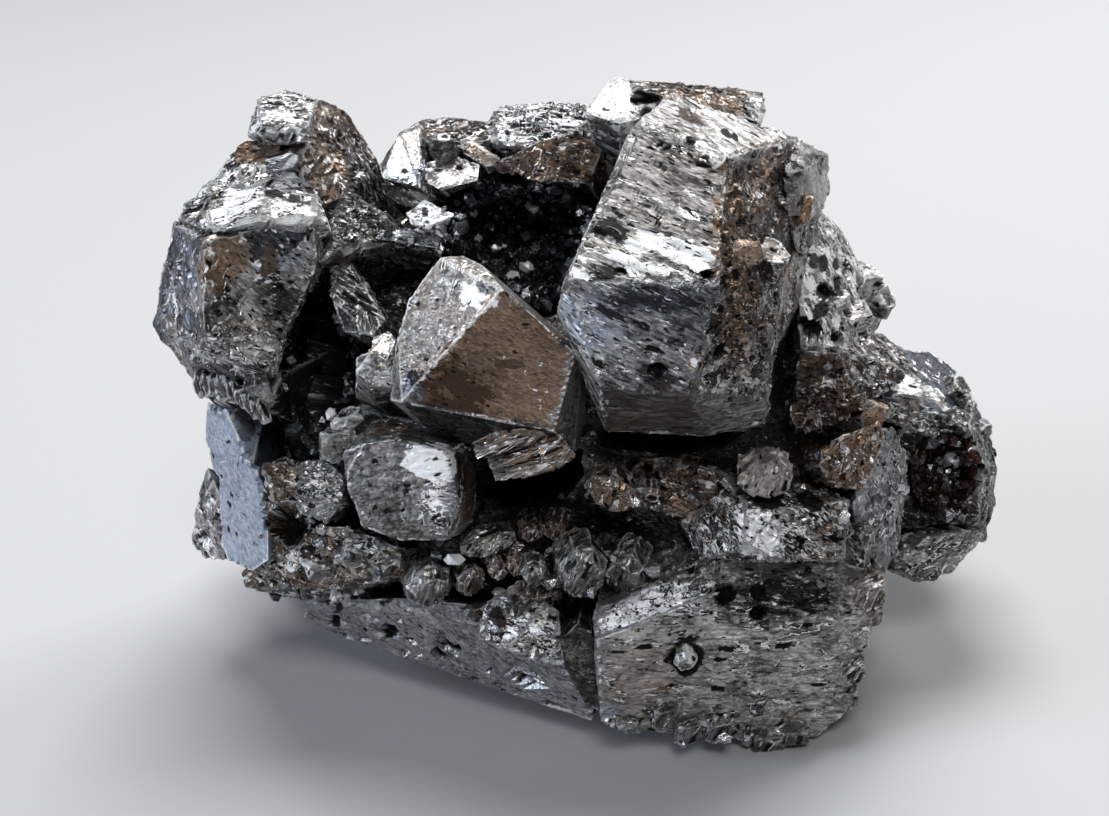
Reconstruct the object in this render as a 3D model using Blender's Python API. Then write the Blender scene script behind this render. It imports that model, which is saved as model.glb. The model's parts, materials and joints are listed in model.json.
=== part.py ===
"""Hematite specimen: a cluster of intergrown metallic crystals with druse in its hollows.

The frame is in metres, +Z up, with X to the right, Y to the back and the origin under the
middle of the cluster. The numbers below are in millimetres. A crystal is the convex hull of
the corners that it shows and of a root or two, the points where it is grown into the others.
"""

import math
import random

import bmesh
import bpy
from mathutils import Euler, Vector

MM = 0.001

# Overall
FLOOR_CUT_DEPTH = 6.0
FLOOR_CUT_SIZE = 80.0
SHORTEST_EDGE = 0.15
THINNEST_FACE = 0.002
CLEANING_ROUNDS = 12

# Druse in the hollows
CRUST_GAP = 0.3
CRUST_THICKNESS = 0.8
CRUST_REACH = 0.05
DRUSE_SEED = 7
HOLLOW_SEED = 4
HOLLOW_SEGMENTS = 9
HOLLOW_RINGS = 6
HOLLOW_UNEVEN = 0.16
SMALL_PIT = 1.0
SMALL_PIT_SIDES = 6
SMALL_PIT_RINGS = 3
LEFT_SEEDS = 14
LEFT_SEED_SIZE = 1.05
POCKET_SEEDS = 20
POCKET_SEED_SIZE = 1.25
CUP_SEEDS = 11
CUP_SEED_SIZE = 0.62
SMALLEST_SEED = 0.6
SEED_SPREAD = 0.95

# The mass that all the crystals grow from
CORE = {
    "core": [
        (-20.5, -1.0, 7), (-16, -6.5, 7), (-20.5, -1.5, 18), (-16.5, -5, 19), (-14, 0, 26),
        (-7, 0, 26), (2, -3, 28), (9.5, -4, 28), (15.5, -3.5, 20), (18, -2.5, 9), (14, -7.5, 4),
        (-8, -7, 5), (-7, -8.5, 18), (4, -9, 19), (13, -7, 12), (-15, 13, 5), (14, 13, 5),
        (-13, 12, 17), (12, 11, 20), (-8, 9, 26), (8, 8, 27), (18, 7, 9), (-19, 7, 14),
    ],
    "pit_floor": [
        (-11, -6, 5), (0, -8, 4), (12, -9, 3), (14, -7, 9), (0, -6, 10), (-9, -5, 10),
    ],
    "stone_under": [
        (-17, 0, -1), (-14, 10, -1), (0, 13, -1), (13, 11, -1), (16, -4, -1), (1, -8, -1),
        (-17, 2, 6), (-14, 12, 7), (0, 14, 7), (14, 13, 7), (17, -5, 7), (1, -8, 5),
    ],
}

# Upper left peak and the stepped ledges under it
LEFT_PEAK = {
    "peak_cap": [
        (-19.1, 0.5, 35.1), (-17.7, 2.0, 35.2), (-15.7, 1.0, 34.9), (-18.3, -3.6, 34.4),
        (-15.9, -3.0, 34.3), (-19.6, -1.5, 33.4), (-18.5, -2.5, 33.2), (-16.0, -3.5, 33.6),
        (-18, 4, 30), (-15, 5, 31),
    ],
    "peak_body": [
        (-15.7, 1.0, 34.9), (-14.3, 2.0, 34.0), (-13.9, 2.0, 32.6), (-12.5, 2.0, 30.6),
        (-13.6, -2.5, 30.6), (-14.4, -4.4, 30.3), (-15.9, -6.0, 30.8), (-16.2, -3.2, 33.5),
        (-18.7, -1.5, 32.5), (-20.2, -1.5, 31.4), (-18, 5, 27), (-11, 6, 26), (-19, 4, 22),
    ],
    "peak_nub": [
        (-18.4, -3.5, 32.7), (-17.7, -3.2, 33.1), (-16.4, -4.0, 33.4), (-16.2, -4.5, 32.5),
        (-17.3, -5.0, 32.3), (-18.3, -4.5, 32.3), (-16, 2, 26),
    ],
    "upper_ledge": [
        (-19.8, -1.5, 33.1), (-18.4, -4.0, 32.4), (-16.2, -5.0, 32.2), (-15.5, -5.0, 31.6),
        (-20.8, -1.5, 32.0), (-21.9, -2.5, 30.9), (-19.5, -5.2, 31.6), (-19, 4, 26),
        (-13, 4, 23), (-21, 3, 23),
    ],
    "lower_ledge": [
        (-21.8, -2.5, 31.1), (-18.2, -5.5, 31.8), (-15.3, -5.5, 31.4), (-14.7, -8.0, 30.8),
        (-23.3, -4.3, 29.5), (-22.7, -3.2, 30.2), (-20.4, -9.3, 30.5), (-17.7, -9.6, 31.2),
        (-15.8, -9.0, 30.6), (-22, 4, 21), (-13, 4, 21),
    ],
}

# Left block, with the short prisms that hang under it
LEFT_BLOCK = {
    "left_block": [
        (-23.6, -4.0, 29.2), (-25.5, -2.8, 22.7), (-24.9, -4.0, 22.1), (-22.9, -6.5, 21.6),
        (-19.4, -8.5, 21.6), (-17.6, -8.2, 21.7), (-17.2, -9.4, 24.0), (-21.1, -10.5, 24.9),
        (-20.8, -10.0, 30.3), (-17.8, -9.1, 30.6), (-15.0, -8.3, 30.5), (-15.0, -8.5, 28.3),
        (-21.3, -7.0, 21.3), (-23, 4, 20), (-24, 5, 14), (-16, 4, 12), (-14, 4, 19),
    ],
    "left_prism": [
        (-23.0, -5.5, 21.0), (-23.3, -5.0, 20.5), (-22.9, -5.2, 19.4), (-22.2, -6.0, 19.3),
        (-21.7, -6.3, 21.1), (-19, 1, 12),
    ],
    "right_prism": [
        (-21.3, -6.6, 21.0), (-20.5, -7.5, 21.4), (-19.7, -8.2, 21.5), (-20.3, -8.0, 20.6),
        (-21.8, -6.0, 19.0), (-21.1, -7.0, 19.6), (-17, 1, 12),
    ],
    "round_prism": [
        (-19.6, -8.5, 20.9), (-18.7, -9.5, 21.7), (-17.9, -9.5, 21.6), (-17.6, -9.5, 20.8),
        (-18.2, -9.0, 19.6), (-19.2, -8.5, 19.2), (-19.8, -8.0, 19.6), (-19.8, -4, 24),
    ],
}

# Crystals between the left hollow and the central crystal
LEFT_WALL = {
    "striated_wedge": [
        (-15.1, -7.0, 27.2), (-14.1, -7.0, 27.9), (-13.4, -6.5, 27.8), (-12.5, -7.0, 26.6),
        (-11.5, -8.5, 25.1), (-12.1, -9.5, 24.6), (-13.7, -9.0, 24.6), (-14.3, -8.5, 26.3),
        (-10, 2, 17),
    ],
    "pale_upper": [
        (-12.1, -9.5, 24.5), (-11.3, -9.0, 24.7), (-10.8, -9.5, 24.4), (-10.8, -10.0, 23.5),
        (-11.3, -11.0, 23.7), (-12.3, -10.5, 24.1), (-9, 0, 15),
    ],
    "pale_lower": [
        (-13.0, -9.8, 23.5), (-12.1, -10.5, 24.2), (-11.0, -11.0, 23.7), (-10.9, -11.5, 22.4),
        (-11.9, -11.5, 22.5), (-13.0, -10.8, 23.0), (-13.3, -9.0, 20.7), (-12.3, -9.5, 20.5),
        (-9.5, 0, 13),
    ],
    "bridge": [
        (-16.1, -4.0, 29.8), (-14.0, -3.0, 30.9), (-11.1, -5.0, 29.4), (-10.9, -5.5, 28.7),
        (-12.7, -6.0, 28.9), (-13.7, -7.0, 27.9), (-15.0, -8.0, 28.3), (-13, 6, 24),
        (-6, 6, 22), (-14, 5, 18),
    ],
    "bright_band": [
        (-12.7, -4.5, 29.3), (-11.1, -5.0, 29.3), (-8.5, -5.5, 28.9), (-8.7, -6.0, 28.4),
        (-10.7, -6.0, 28.7), (-12.5, -6.0, 29.0), (-7, 3, 20),
    ],
}

# Ridge along the back, from the left slab to the plate behind the big block
BACK_RIDGE = {
    "ridge_slab": [
        (-12.3, -0.5, 31.4), (-11.1, 0.5, 33.1), (-10.0, 1.5, 33.4), (-9.6, 0.0, 31.5),
        (-8.8, -2.5, 30.0), (-9.8, -3.0, 30.9), (-11.9, -2.5, 31.3), (-10, 7, 26),
        (-6, 7, 25),
    ],
    "thin_slab": [
        (-12.1, -2.0, 30.9), (-11.1, -2.5, 30.9), (-9.1, -3.5, 30.0), (-9.5, -3.5, 29.6),
        (-10.9, -3.0, 29.9), (-11.9, -2.5, 30.3), (-7, 5, 21),
    ],
    "square_block": [
        (-10.6, -4.0, 29.8), (-9.5, -3.5, 30.4), (-7.7, -4.5, 29.8), (-8.2, -5.2, 28.6),
        (-10.2, -5.0, 29.4), (-9.5, -5.8, 29.5), (-5, 3, 21),
    ],
    "white_lump": [
        (-9.5, -1.5, 31.9), (-8.7, -1.5, 32.1), (-7.7, -1.5, 32.3), (-6.4, -2.0, 31.9),
        (-6.5, -3.0, 31.3), (-8.6, -3.5, 30.9), (-9.5, -3.0, 31.2), (-5, 5, 24),
    ],
    "barrel": [
        (-9.3, -2.0, 33.3), (-9.0, -1.5, 33.6), (-8.2, -1.5, 33.7), (-7.8, -2.0, 33.3),
        (-7.8, -2.0, 32.6), (-8.6, -2.3, 32.1), (-9.3, -2.0, 32.6), (-6, 3, 26),
    ],
    "ridge_left": [
        (-11.4, 3.0, 32.2), (-10.1, 3.0, 33.0), (-8.0, 3.0, 33.2), (-6.3, 2.0, 33.3),
        (-5.7, 0.0, 32.7), (-7.0, 0.0, 32.1), (-9.6, 0.0, 32.6), (-10, 8, 25), (-1, 8, 26),
        (-6, 9, 22),
    ],
    "ridge_right": [
        (-6.3, 2.0, 33.2), (-5.4, 3.0, 33.8), (-4.1, 4.0, 33.8), (-2.3, 4.0, 33.9),
        (-0.4, 4.0, 33.7), (0.0, 2.0, 33.4), (-1.9, -1.0, 32.9), (-4.1, -1.5, 32.5),
        (-5.8, -0.5, 32.8), (-4, 8, 26), (3, 9, 27), (0, 9, 22),
    ],
    "bent_rods": [
        (-7.7, -0.8, 33.0), (-7.0, -0.5, 33.1), (-5.3, -2.0, 32.4), (-5.1, -2.0, 31.9),
        (-6.1, -2.3, 31.9), (-7.4, -1.3, 32.4), (-4, 3, 25),
    ],
    "brown_lump": [
        (-5.7, -2.0, 31.9), (-3.0, -2.0, 33.3), (-0.8, -1.5, 33.6), (0.6, -1.5, 32.7),
        (-0.2, -3.0, 31.3), (-2.6, -3.5, 31.4), (-5.1, -3.0, 31.2), (-3, 5, 25), (2, 5, 25),
    ],
    "white_triangle": [
        (-0.3, -0.5, 35.0), (0.7, 0.5, 35.9), (1.6, 1.5, 36.1), (2.7, 1.5, 35.6),
        (2.0, -1.0, 34.9), (2.7, -2.0, 34.6), (1.4, -3.0, 34.6), (-0.5, -2.0, 34.9),
        (2, 6, 24),
    ],
    "top_plate": [
        (1.8, 1.5, 35.7), (5.0, 2.0, 35.5), (8.8, 2.5, 35.0), (9.9, 2.5, 34.8),
        (10.0, 1.5, 34.2), (9.7, 0.5, 33.7), (7.1, -1.0, 34.8), (3.4, -2.0, 35.6),
        (2.6, -2.0, 35.2), (3, 8, 24), (9, 7, 24),
    ],
}

# Big striated block at the upper right and the lumpy mass beside it
UPPER_RIGHT = {
    "big_block": [
        (2.1, -11.5, 37.4), (4.0, -7.5, 37.6), (11.2, -4.5, 34.3), (6.5, -12.9, 35.8),
        (0.1, -13.9, 33.9), (-1.6, -16.3, 30.5), (5.9, -16.8, 30.2), (-2.1, -15.6, 28.5),
        (0.1, -17.2, 25.0), (4.7, -17.5, 24.6), (0.5, -14.0, 21.0), (5.7, -13.5, 20.4),
        (9.1, -13.0, 20.9), (8.9, -15.0, 23.4), (8.9, -15.0, 26.1), (2, 3, 30), (0, 3, 19),
        (11, 3, 18),
    ],
    "block_flank": [
        (10.0, -7.0, 34.9), (11.2, -4.5, 34.3), (12.7, -3.5, 33.1), (12.8, -4.0, 32.4),
        (12.3, -5.5, 30.5), (11.1, -9.0, 26.5), (9.5, -12.5, 25.3), (8.5, -14.0, 27.9),
        (7.7, -12.3, 33.3), (7.5, -10.8, 34.9), (14, 4, 26), (12, 3, 18),
    ],
}

# Right side: pitted mass, shelf, brown face and the grey broken faces
RIGHT_SIDE = {
    "pitted_mass": [
        (12.8, -2.0, 29.5), (14.0, -1.0, 28.0), (15.1, -1.0, 26.7), (15.9, 0.0, 24.8),
        (15.2, -4.5, 23.5), (13.1, -8.5, 22.0), (11.3, -9.0, 23.5), (11.1, -9.0, 26.5),
        (11.6, -6.5, 28.7), (14.8, -6.5, 19.4), (16, 6, 23), (12, 5, 14),
    ],
    "rear_knob": [
        (16.0, 1.0, 24.6), (16.8, 2.0, 23.9), (18.0, 3.0, 22.7), (18.2, 3.0, 21.4),
        (17.6, 2.0, 20.7), (16.6, 0.0, 20.3), (18, 9, 18), (14, 9, 15),
    ],
    "right_shelf": [
        (17.3, 0.0, 20.8), (19.0, 1.0, 19.4), (19.1, -2.5, 19.1), (15.9, -5.5, 20.7),
        (13.5, -8.0, 23.4), (14.6, -7.0, 19.5), (10.9, -9.5, 23.8), (15.7, -6.5, 19.2),
        (12, 5, 12), (19, 6, 14),
    ],
    "brown_face": [
        (11.2, -9.5, 23.8), (13.6, -8.3, 23.1), (15.3, -7.0, 19.3), (14.3, -7.5, 18.3),
        (11.3, -9.0, 18.7), (10.7, -9.5, 20.8), (13, 4, 11),
    ],
    "grey_cut": [
        (15.6, -7.5, 18.0), (17.3, -6.5, 17.7), (18.2, -6.0, 15.9), (18.5, -6.0, 13.0),
        (18.2, -6.0, 9.3), (17.5, -6.5, 7.9), (15.4, -8.5, 11.4), (14.7, -9.5, 14.2),
        (16.2, -8.0, 15.7), (14, 4, 6),
    ],
    "rust_lump": [
        (12.7, -9.5, 17.8), (14.0, -9.5, 18.5), (16.3, -7.5, 18.6), (16.7, -7.0, 17.1),
        (16.1, -8.0, 15.7), (15.1, -9.5, 15.0), (13.2, -10.5, 16.2), (12.5, -10.5, 17.2),
        (12, 2, 10),
    ],
}

# Lobe at the far right, around its own small hollow
RIGHT_LOBE = {
    "lobe_top": [
        (19.3, 2.0, 18.9), (21.2, 4.0, 17.8), (22.9, 4.0, 16.6), (24.1, 3.0, 15.0),
        (24.5, 1.5, 14.0), (20.4, -4.0, 17.2), (17.0, -4.5, 18.3), (16.4, -4.5, 19.7),
        (19, 10, 14), (15, 9, 13),
    ],
    "lobe_side": [
        (20.5, -3.5, 17.2), (24.1, 3.0, 15.0), (25.1, 2.0, 12.7), (25.5, 1.0, 11.1),
        (25.3, 0.0, 9.2), (24.6, -1.0, 7.2), (23.6, -3.0, 9.7), (23.4, -3.5, 13.4),
        (22.4, -3.5, 16.0), (18.5, -3.8, 9.5), (18.0, -3.5, 16.0), (21, 8, 6), (21, 9, 12),
        (15, 4, 10),
    ],
    "lobe_foot": [
        (24.4, -2.0, 8.1), (22.9, -2.5, 6.4), (21.2, -3.5, 5.7), (19.9, -4.0, 5.9),
        (18.5, -4.5, 6.9), (18.2, -5.0, 8.3), (20.2, -5.5, 10.0), (22.1, -5.0, 10.1),
        (23.6, -3.5, 9.3), (18, 9, 5), (15, 7, 3),
    ],
}

# Central crystal with the thin plates stacked under it, and the eight-sided crystal
CENTRE = {
    "central_crystal": [
        (-8.3, -9.5, 29.2), (-7.1, -9.5, 29.3), (-5.0, -14.0, 29.1), (-1.1, -14.8, 25.7),
        (-2.2, -15.2, 21.5), (-5.1, -14.8, 22.3), (-7.6, -14.5, 23.2), (-10.3, -14.2, 22.8),
        (-11.0, -12.5, 22.1), (-11.0, -11.5, 23.3), (-10.6, -11.0, 25.3), (-10.0, -9.9, 27.0),
        (-3.5, -10.5, 26.8), (-0.7, -10.5, 23.7), (-0.6, -10.5, 21.2), (-1.1, -11.5, 18.5),
        (-6.8, -11.5, 19.0), (-9.2, -12.0, 20.1), (-3, 0, 20), (-8, 0, 20), (-8, 0, 13),
        (0, 0, 14),
    ],
    "upper_plate": [
        (-6.8, -12.8, 19.7), (-5.1, -15.0, 21.6), (-3.2, -15.5, 21.9), (-2.5, -15.0, 21.3),
        (-4.0, -14.8, 20.3), (-5.6, -14.0, 19.7), (-3, 0, 12),
    ],
    "lower_plate": [
        (-5.7, -13.2, 19.3), (-4.1, -14.6, 20.1), (-2.1, -15.0, 21.2), (-1.0, -13.0, 19.1),
        (-1.9, -14.0, 18.9), (-4.0, -14.2, 18.3), (-5.1, -13.8, 19.0), (-2, 0, 11),
    ],
    "eight_sided": [
        (-13.9, -11.0, 18.3), (-13.4, -10.5, 18.8), (-12.2, -9.0, 19.4), (-9.1, -9.5, 19.2),
        (-6.8, -9.5, 18.5), (-7.8, -14.3, 19.9), (-10.5, -13.1, 20.1), (-12.5, -12.4, 19.5),
        (-13.6, -12.0, 17.7), (-13.6, -12.1, 16.5), (-12.8, -12.6, 14.4),
        (-10.7, -13.5, 14.1), (-8.0, -14.6, 14.9), (-7.4, -14.6, 17.2), (-6.4, -9.5, 17.9),
        (-6.2, -10.0, 16.0), (-6.9, -11.5, 14.2), (-12, 0, 8), (-6, 0, 8), (-11, 0, 12),
        (-6, 0, 12),
    ],
}

# Lower left: the flat broken face, brown lumps and the pitted underside
LOWER_LEFT = {
    "upper_break": [
        (-22.4, -4.5, 18.4), (-20.9, -6.2, 18.6), (-20.4, -7.0, 17.1), (-21.3, -6.4, 15.0),
        (-22.3, -5.2, 14.9), (-22.7, -4.5, 15.9), (-18, 3, 10),
    ],
    "lower_break": [
        (-21.8, -5.7, 15.0), (-20.2, -7.5, 16.3), (-19.1, -8.8, 16.4), (-18.8, -9.5, 14.5),
        (-18.4, -10.1, 13.7), (-18.5, -10.4, 11.1), (-19.7, -9.2, 9.7), (-21.4, -7.3, 9.3),
        (-21.9, -6.6, 10.0), (-19, 3, 9), (-15, 3, 6),
    ],
    "rear_knobs": [
        (-23.2, -2.5, 13.2), (-23.8, -2.0, 10.9), (-24.5, -2.0, 8.5), (-24.7, -2.0, 7.6),
        (-24.1, -2.5, 6.9), (-22.2, -4.5, 7.7), (-22.0, -4.5, 11.9), (-18, 5, 6),
    ],
    "brown_lump_1": [
        (-18.8, -8.5, 16.4), (-17.5, -8.0, 16.5), (-16.5, -8.8, 16.1), (-16.6, -10.0, 14.8),
        (-18.0, -10.0, 14.5), (-18.8, -9.3, 14.5), (-14, 1, 10),
    ],
    "brown_lump_2": [
        (-16.6, -8.5, 16.4), (-15.4, -8.5, 16.7), (-14.1, -9.5, 16.1), (-14.1, -11.0, 15.0),
        (-15.0, -11.3, 13.9), (-16.5, -11.0, 14.4), (-16.9, -10.3, 15.2), (-12, 1, 9),
    ],
    "brown_lump_3": [
        (-18.8, -9.5, 14.5), (-16.5, -10.2, 14.9), (-15.8, -11.2, 14.1), (-16.2, -11.5, 12.7),
        (-18.6, -9.8, 10.8), (-14, 1, 7),
    ],
    "low_lumps": [
        (-18.6, -9.6, 11.7), (-16.5, -11.3, 13.6), (-13.9, -11.8, 14.1), (-10.8, -12.0, 12.8),
        (-10.8, -12.2, 11.4), (-12.7, -11.5, 10.2), (-14.4, -11.3, 10.2), (-16.8, -10.3, 9.3),
        (-19.2, -9.0, 8.5), (-20.4, -8.0, 7.9), (-20.6, -7.5, 8.7), (-17, 2, 4), (-8, 2, 4),
    ],
    "under_lip": [
        (-20.3, -7.0, 7.1), (-16.6, -8.2, 7.2), (-14.4, -9.3, 8.4), (-11.1, -10.0, 9.6),
        (-18.0, -7.0, 6.6), (-16, 3, 4), (-8, 2, 3),
    ],
    "underside": [
        (-17.2, -6.5, 6.0), (-17.5, -5.8, 4.5), (-15.8, -6.0, 3.5), (-12.4, -7.5, 3.1),
        (-8.4, -9.5, 3.2), (-5.4, -11.0, 2.7), (-1.9, -12.5, 2.5), (0.0, -13.2, 2.0),
        (0.2, -13.8, 7.2), (-1.9, -13.8, 7.9), (-7.6, -10.8, 8.5), (-11.8, -9.0, 7.8),
        (-13, 4, 0), (4, 4, 0), (-14, 8, 0),
    ],
    "grain_block": [
        (-6.5, -12.0, 8.9), (-5.3, -12.3, 10.1), (-2.7, -13.2, 10.0), (-1.9, -13.4, 9.5),
        (-1.8, -14.6, 7.2), (-4.1, -14.6, 7.1), (-5.2, -14.3, 7.6), (-6.5, -13.4, 7.7),
        (-4, 0, 4),
    ],
    "dark_crystal": [
        (-1.9, -14.0, 8.0), (-0.9, -13.5, 8.9), (-0.1, -13.5, 8.2), (0.4, -14.0, 6.7),
        (0.5, -14.0, 3.2), (-0.5, -14.0, 3.7), (-1.8, -14.3, 6.6), (0, 0, 4),
    ],
}

# Lower right block, the ledge on it and the rock behind the pit
LOWER_RIGHT = {
    "lower_block": [
        (0.1, -15.0, 8.7), (-0.1, -13.8, 9.2), (1.0, -12.5, 9.5), (3.5, -11.8, 10.0),
        (5.5, -11.0, 11.6), (7.4, -11.0, 12.2), (14.1, -10.0, 10.9), (17.0, -8.7, 9.1),
        (16.7, -9.5, 7.1), (15.7, -11.0, 5.1), (14.8, -12.0, 1.9), (13.3, -12.3, 0.5),
        (10.9, -12.8, 0.3), (8.2, -13.4, 1.3), (3.2, -14.5, 2.1), (0.4, -15.0, 3.2),
        (4.2, -14.2, 8.8), (7.0, -13.6, 11.0), (14.0, -12.1, 8.2), (1, 5, 0), (13, 5, 0),
        (16, 3, 8), (2, 3, 8),
    ],
    "bright_ledge": [
        (7.2, -9.5, 16.4), (8.3, -12.0, 15.7), (10.5, -12.3, 15.5), (14.5, -10.0, 14.8),
        (14.2, -11.5, 11.7), (10.0, -13.2, 12.7), (8.1, -13.4, 13.5), (6.0, -11.5, 11.7),
        (5.0, -9.5, 13.2), (5, 2, 10), (13, 2, 10), (13, 2, 5),
    ],
    "cracked_rock": [
        (2.6, -9.0, 16.9), (6.0, -9.0, 17.1), (7.2, -9.5, 16.4), (7.9, -10.5, 15.0),
        (5.5, -10.0, 13.4), (2.7, -9.5, 14.2), (1.8, -9.3, 15.7), (1, 3, 12), (7, 3, 12),
        (6, 3, 5),
    ],
}

# Blocky crystals: centre, half sizes, turn about X, Y and Z in degrees, and how much of
# each corner is cut away
PIT_CRYSTALS = {
    "pit_prism": ((-5.9, -10.5, 12.3), (1.5, 0.7, 0.6), (10, -15, 10), 0.3),
    "pit_pair": ((-2.9, -9.5, 12.7), (1.25, 1.1, 1.25), (15, 0, 30), 0.45),
    "pit_barrel": ((-0.8, -11.8, 11.4), (1.65, 1.5, 2.15), (15, 0, 25), 0.45),
    "pit_neighbour": ((2.4, -11.0, 10.3), (1.35, 1.35, 1.4), (15, 0, -20), 0.45),
    "pit_wedge": ((-3.1, -11.3, 10.9), (0.9, 0.7, 0.8), (15, 30, 10), 0.45),
    "pit_brown_1": ((-5.5, -11.0, 10.8), (0.65, 0.5, 0.5), (15, -25, 10), 0.45),
    "pit_brown_2": ((-4.3, -11.0, 11.7), (0.6, 0.5, 0.7), (15, -25, 10), 0.45),
    "pit_brown_3": ((-7.2, -10.5, 10.1), (0.95, 0.9, 1.1), (15, 0, 30), 0.45),
    "pit_brown_4": ((-3.6, -12.3, 9.6), (1.15, 0.8, 0.9), (15, 10, 30), 0.45),
    "pit_striped": ((-9.6, -11.0, 10.3), (1.6, 1.4, 1.8), (15, -15, 30), 0.45),
    "pit_small_white": ((-14.6, -9.8, 8.4), (0.5, 0.5, 0.55), (15, 0, 30), 0.45),
    "pit_golden": ((1.0, -10.8, 16.1), (1.9, 1.15, 1.15), (20, 32, 15), 0.3),
    "rim_1": ((5.3, -14.2, 2.2), (0.75, 0.7, 0.75), (15, 0, 20), 0.45),
    "rim_2": ((7.1, -14.0, 2.2), (0.85, 0.7, 0.7), (15, 0, 20), 0.45),
    "rim_3": ((4.0, -14.6, 3.6), (0.8, 0.6, 0.7), (15, 0, 20), 0.45),
    "rim_knob": ((1.5, -14.8, 3.2), (1.15, 0.45, 0.45), (15, 8, 0), 0.45),
    "rim_plate": ((11.3, -13.2, 1.1), (1.25, 0.5, 0.55), (15, 0, 0), 0.45),
    "rim_foot": ((10.2, -13.0, 0.7), (1.0, 0.6, 0.7), (15, 0, 10), 0.45),
    "edge_1": ((15.5, -9.8, 8.8), (1.25, 0.9, 0.95), (15, 0, 10), 0.45),
    "edge_2": ((16.0, -9.5, 7.1), (0.8, 0.6, 0.7), (15, 0, 10), 0.45),
    "edge_3": ((14.9, -11.2, 4.4), (0.8, 0.7, 0.8), (15, 0, 10), 0.45),
    "edge_4": ((14.6, -11.4, 2.7), (0.8, 0.7, 0.8), (15, 0, 10), 0.45),
}
BACK_CRYSTALS = {
    "back_left": ((-13.5, 7.5, 10.0), (6.0, 5.0, 5.6), (10, 20, 30), 0.45),
    "back_right": ((11.5, 8.0, 9.5), (6.2, 5.0, 6.0), (-15, 10, -25), 0.45),
    "back_middle": ((-1.0, 8.6, 12.5), (6.2, 5.8, 6.6), (20, -15, 10), 0.45),
    "back_top": ((7.0, 7.0, 21.5), (5.4, 4.4, 4.6), (0, 25, 40), 0.45),
    "back_top_left": ((-10.5, 6.5, 20.5), (4.4, 4.2, 4.4), (30, 0, 20), 0.45),
    "back_low": ((3.0, 9.0, 4.5), (9.0, 5.4, 4.0), (0, 0, 15), 0.45),
    "back_low_left": ((-11.5, 6.0, 4.0), (5.2, 5.2, 3.8), (0, 0, 35), 0.45),
    "back_far_right": ((20.0, 5.5, 9.5), (3.4, 3.8, 4.4), (20, 30, 0), 0.45),
    "back_grown_1": ((-17.5, 6.0, 23.5), (2.7, 2.5, 2.8), (20, 10, 30), 0.45),
    "back_grown_2": ((-3.5, 9.2, 23.0), (3.3, 2.9, 3.1), (-10, 25, 0), 0.45),
    "back_grown_3": ((14.3, 8.0, 17.5), (3.0, 2.8, 3.1), (15, -20, 40), 0.45),
    "back_grown_4": ((-8.0, 12.0, 17.0), (2.7, 2.4, 2.6), (30, 15, -10), 0.45),
    "back_grown_5": ((5.3, 12.6, 14.5), (2.7, 2.6, 2.7), (10, 35, 20), 0.45),
    "back_grown_6": ((-18.6, 8.4, 15.5), (2.3, 2.3, 2.5), (-20, 10, 15), 0.45),
    "back_grown_7": ((17.2, 9.8, 12.0), (2.3, 2.2, 2.4), (25, 5, -20), 0.45),
    "back_grown_8": ((-16.0, 11.5, 5.0), (2.5, 2.4, 2.6), (0, 20, 25), 0.45),
    "back_grown_9": ((10.0, 13.0, 6.0), (2.6, 2.3, 2.3), (15, -10, 30), 0.45),
    "back_grown_10": ((1.5, 9.2, 28.0), (2.3, 2.1, 2.2), (20, 30, 10), 0.45),
    "back_grown_11": ((-4.0, 13.96, 7.5), (2.4, 2.2, 2.6), (-15, 20, 40), 0.45),
    "back_grown_12": ((21.6, 8.3, 13.2), (1.9, 1.8, 1.9), (10, 30, 20), 0.45),
}

# Smaller crystals on the mass, the lobe and the low lumps and in the left hollow, with their
# corners cut back to the middles of the edges
BUMP_CRYSTALS = {
    "mass_bump_3": ((13.4, -5.4, 25.4), (0.90, 0.80, 0.62), (10, 35, 20), 1.0),
    "mass_bump_5": ((15.9, -0.4, 24.4), (0.90, 1.03, 0.78), (15, 20, 35), 1.0),
    "mass_bump_6": ((17.2, 0.6, 22.6), (0.78, 0.92, 0.67), (30, 40, 10), 1.0),
    "mass_bump_7": ((15.1, -4.4, 23.7), (0.78, 0.80, 0.56), (20, -30, 5), 1.0),
    "lobe_plate_1": ((18.3, -3.4, 18.7), (1.06, 0.92, 0.50), (25, 12, 10), 1.0),
    "lobe_plate_2": ((20.2, -2.2, 17.2), (0.90, 0.92, 0.50), (30, 28, 20), 1.0),
    "lobe_bump_1": ((22.3, 0.8, 16.6), (0.78, 0.92, 0.67), (20, 40, 10), 1.0),
    "lobe_bump_2": ((23.9, 1.6, 13.7), (0.67, 0.92, 0.78), (10, 20, 40), 1.0),
    "lobe_bump_4": ((19.4, -4.4, 8.5), (0.84, 0.80, 0.62), (20, 10, 15), 1.0),
    "lobe_bump_5": ((21.7, -3.1, 7.1), (0.84, 0.80, 0.62), (10, -30, 25), 1.0),
    "hollow_barrel": ((-14.5, -9.0, 18.1), (1.01, 0.92, 1.01), (10, 0, 20), 1.0),
    "hollow_sliver": ((-13.8, -9.2, 19.5), (0.95, 0.57, 0.43), (10, -15, 10), 1.0),
    "low_bump_1": ((-15.7, -10.6, 11.0), (0.78, 0.80, 0.67), (35, -20, 10), 1.0),
    "low_bump_2": ((-13.7, -11.4, 12.2), (0.73, 0.80, 0.67), (15, 30, 25), 1.0),
    "low_bump_3": ((-11.9, -11.5, 11.4), (0.78, 0.69, 0.67), (20, -10, 40), 1.0),
}

# Crystals that sit in sockets, put in once the sockets are cut
SOCKET_CRYSTALS = {
    "grooved_crystal": ((9.5, -11.2, 17.2), (1.5, 1.2, 1.25), (10, 0, 5), 0.5),
    "block_crystal": ((5.1, -13.9, 6.9), (0.72, 0.6, 0.8), (10, 0, 10), 0.5),
    "shelf_crystal": ((3.3, -10.0, 15.3), (0.65, 0.55, 0.6), (15, 30, 10), 0.45),
}

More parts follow.
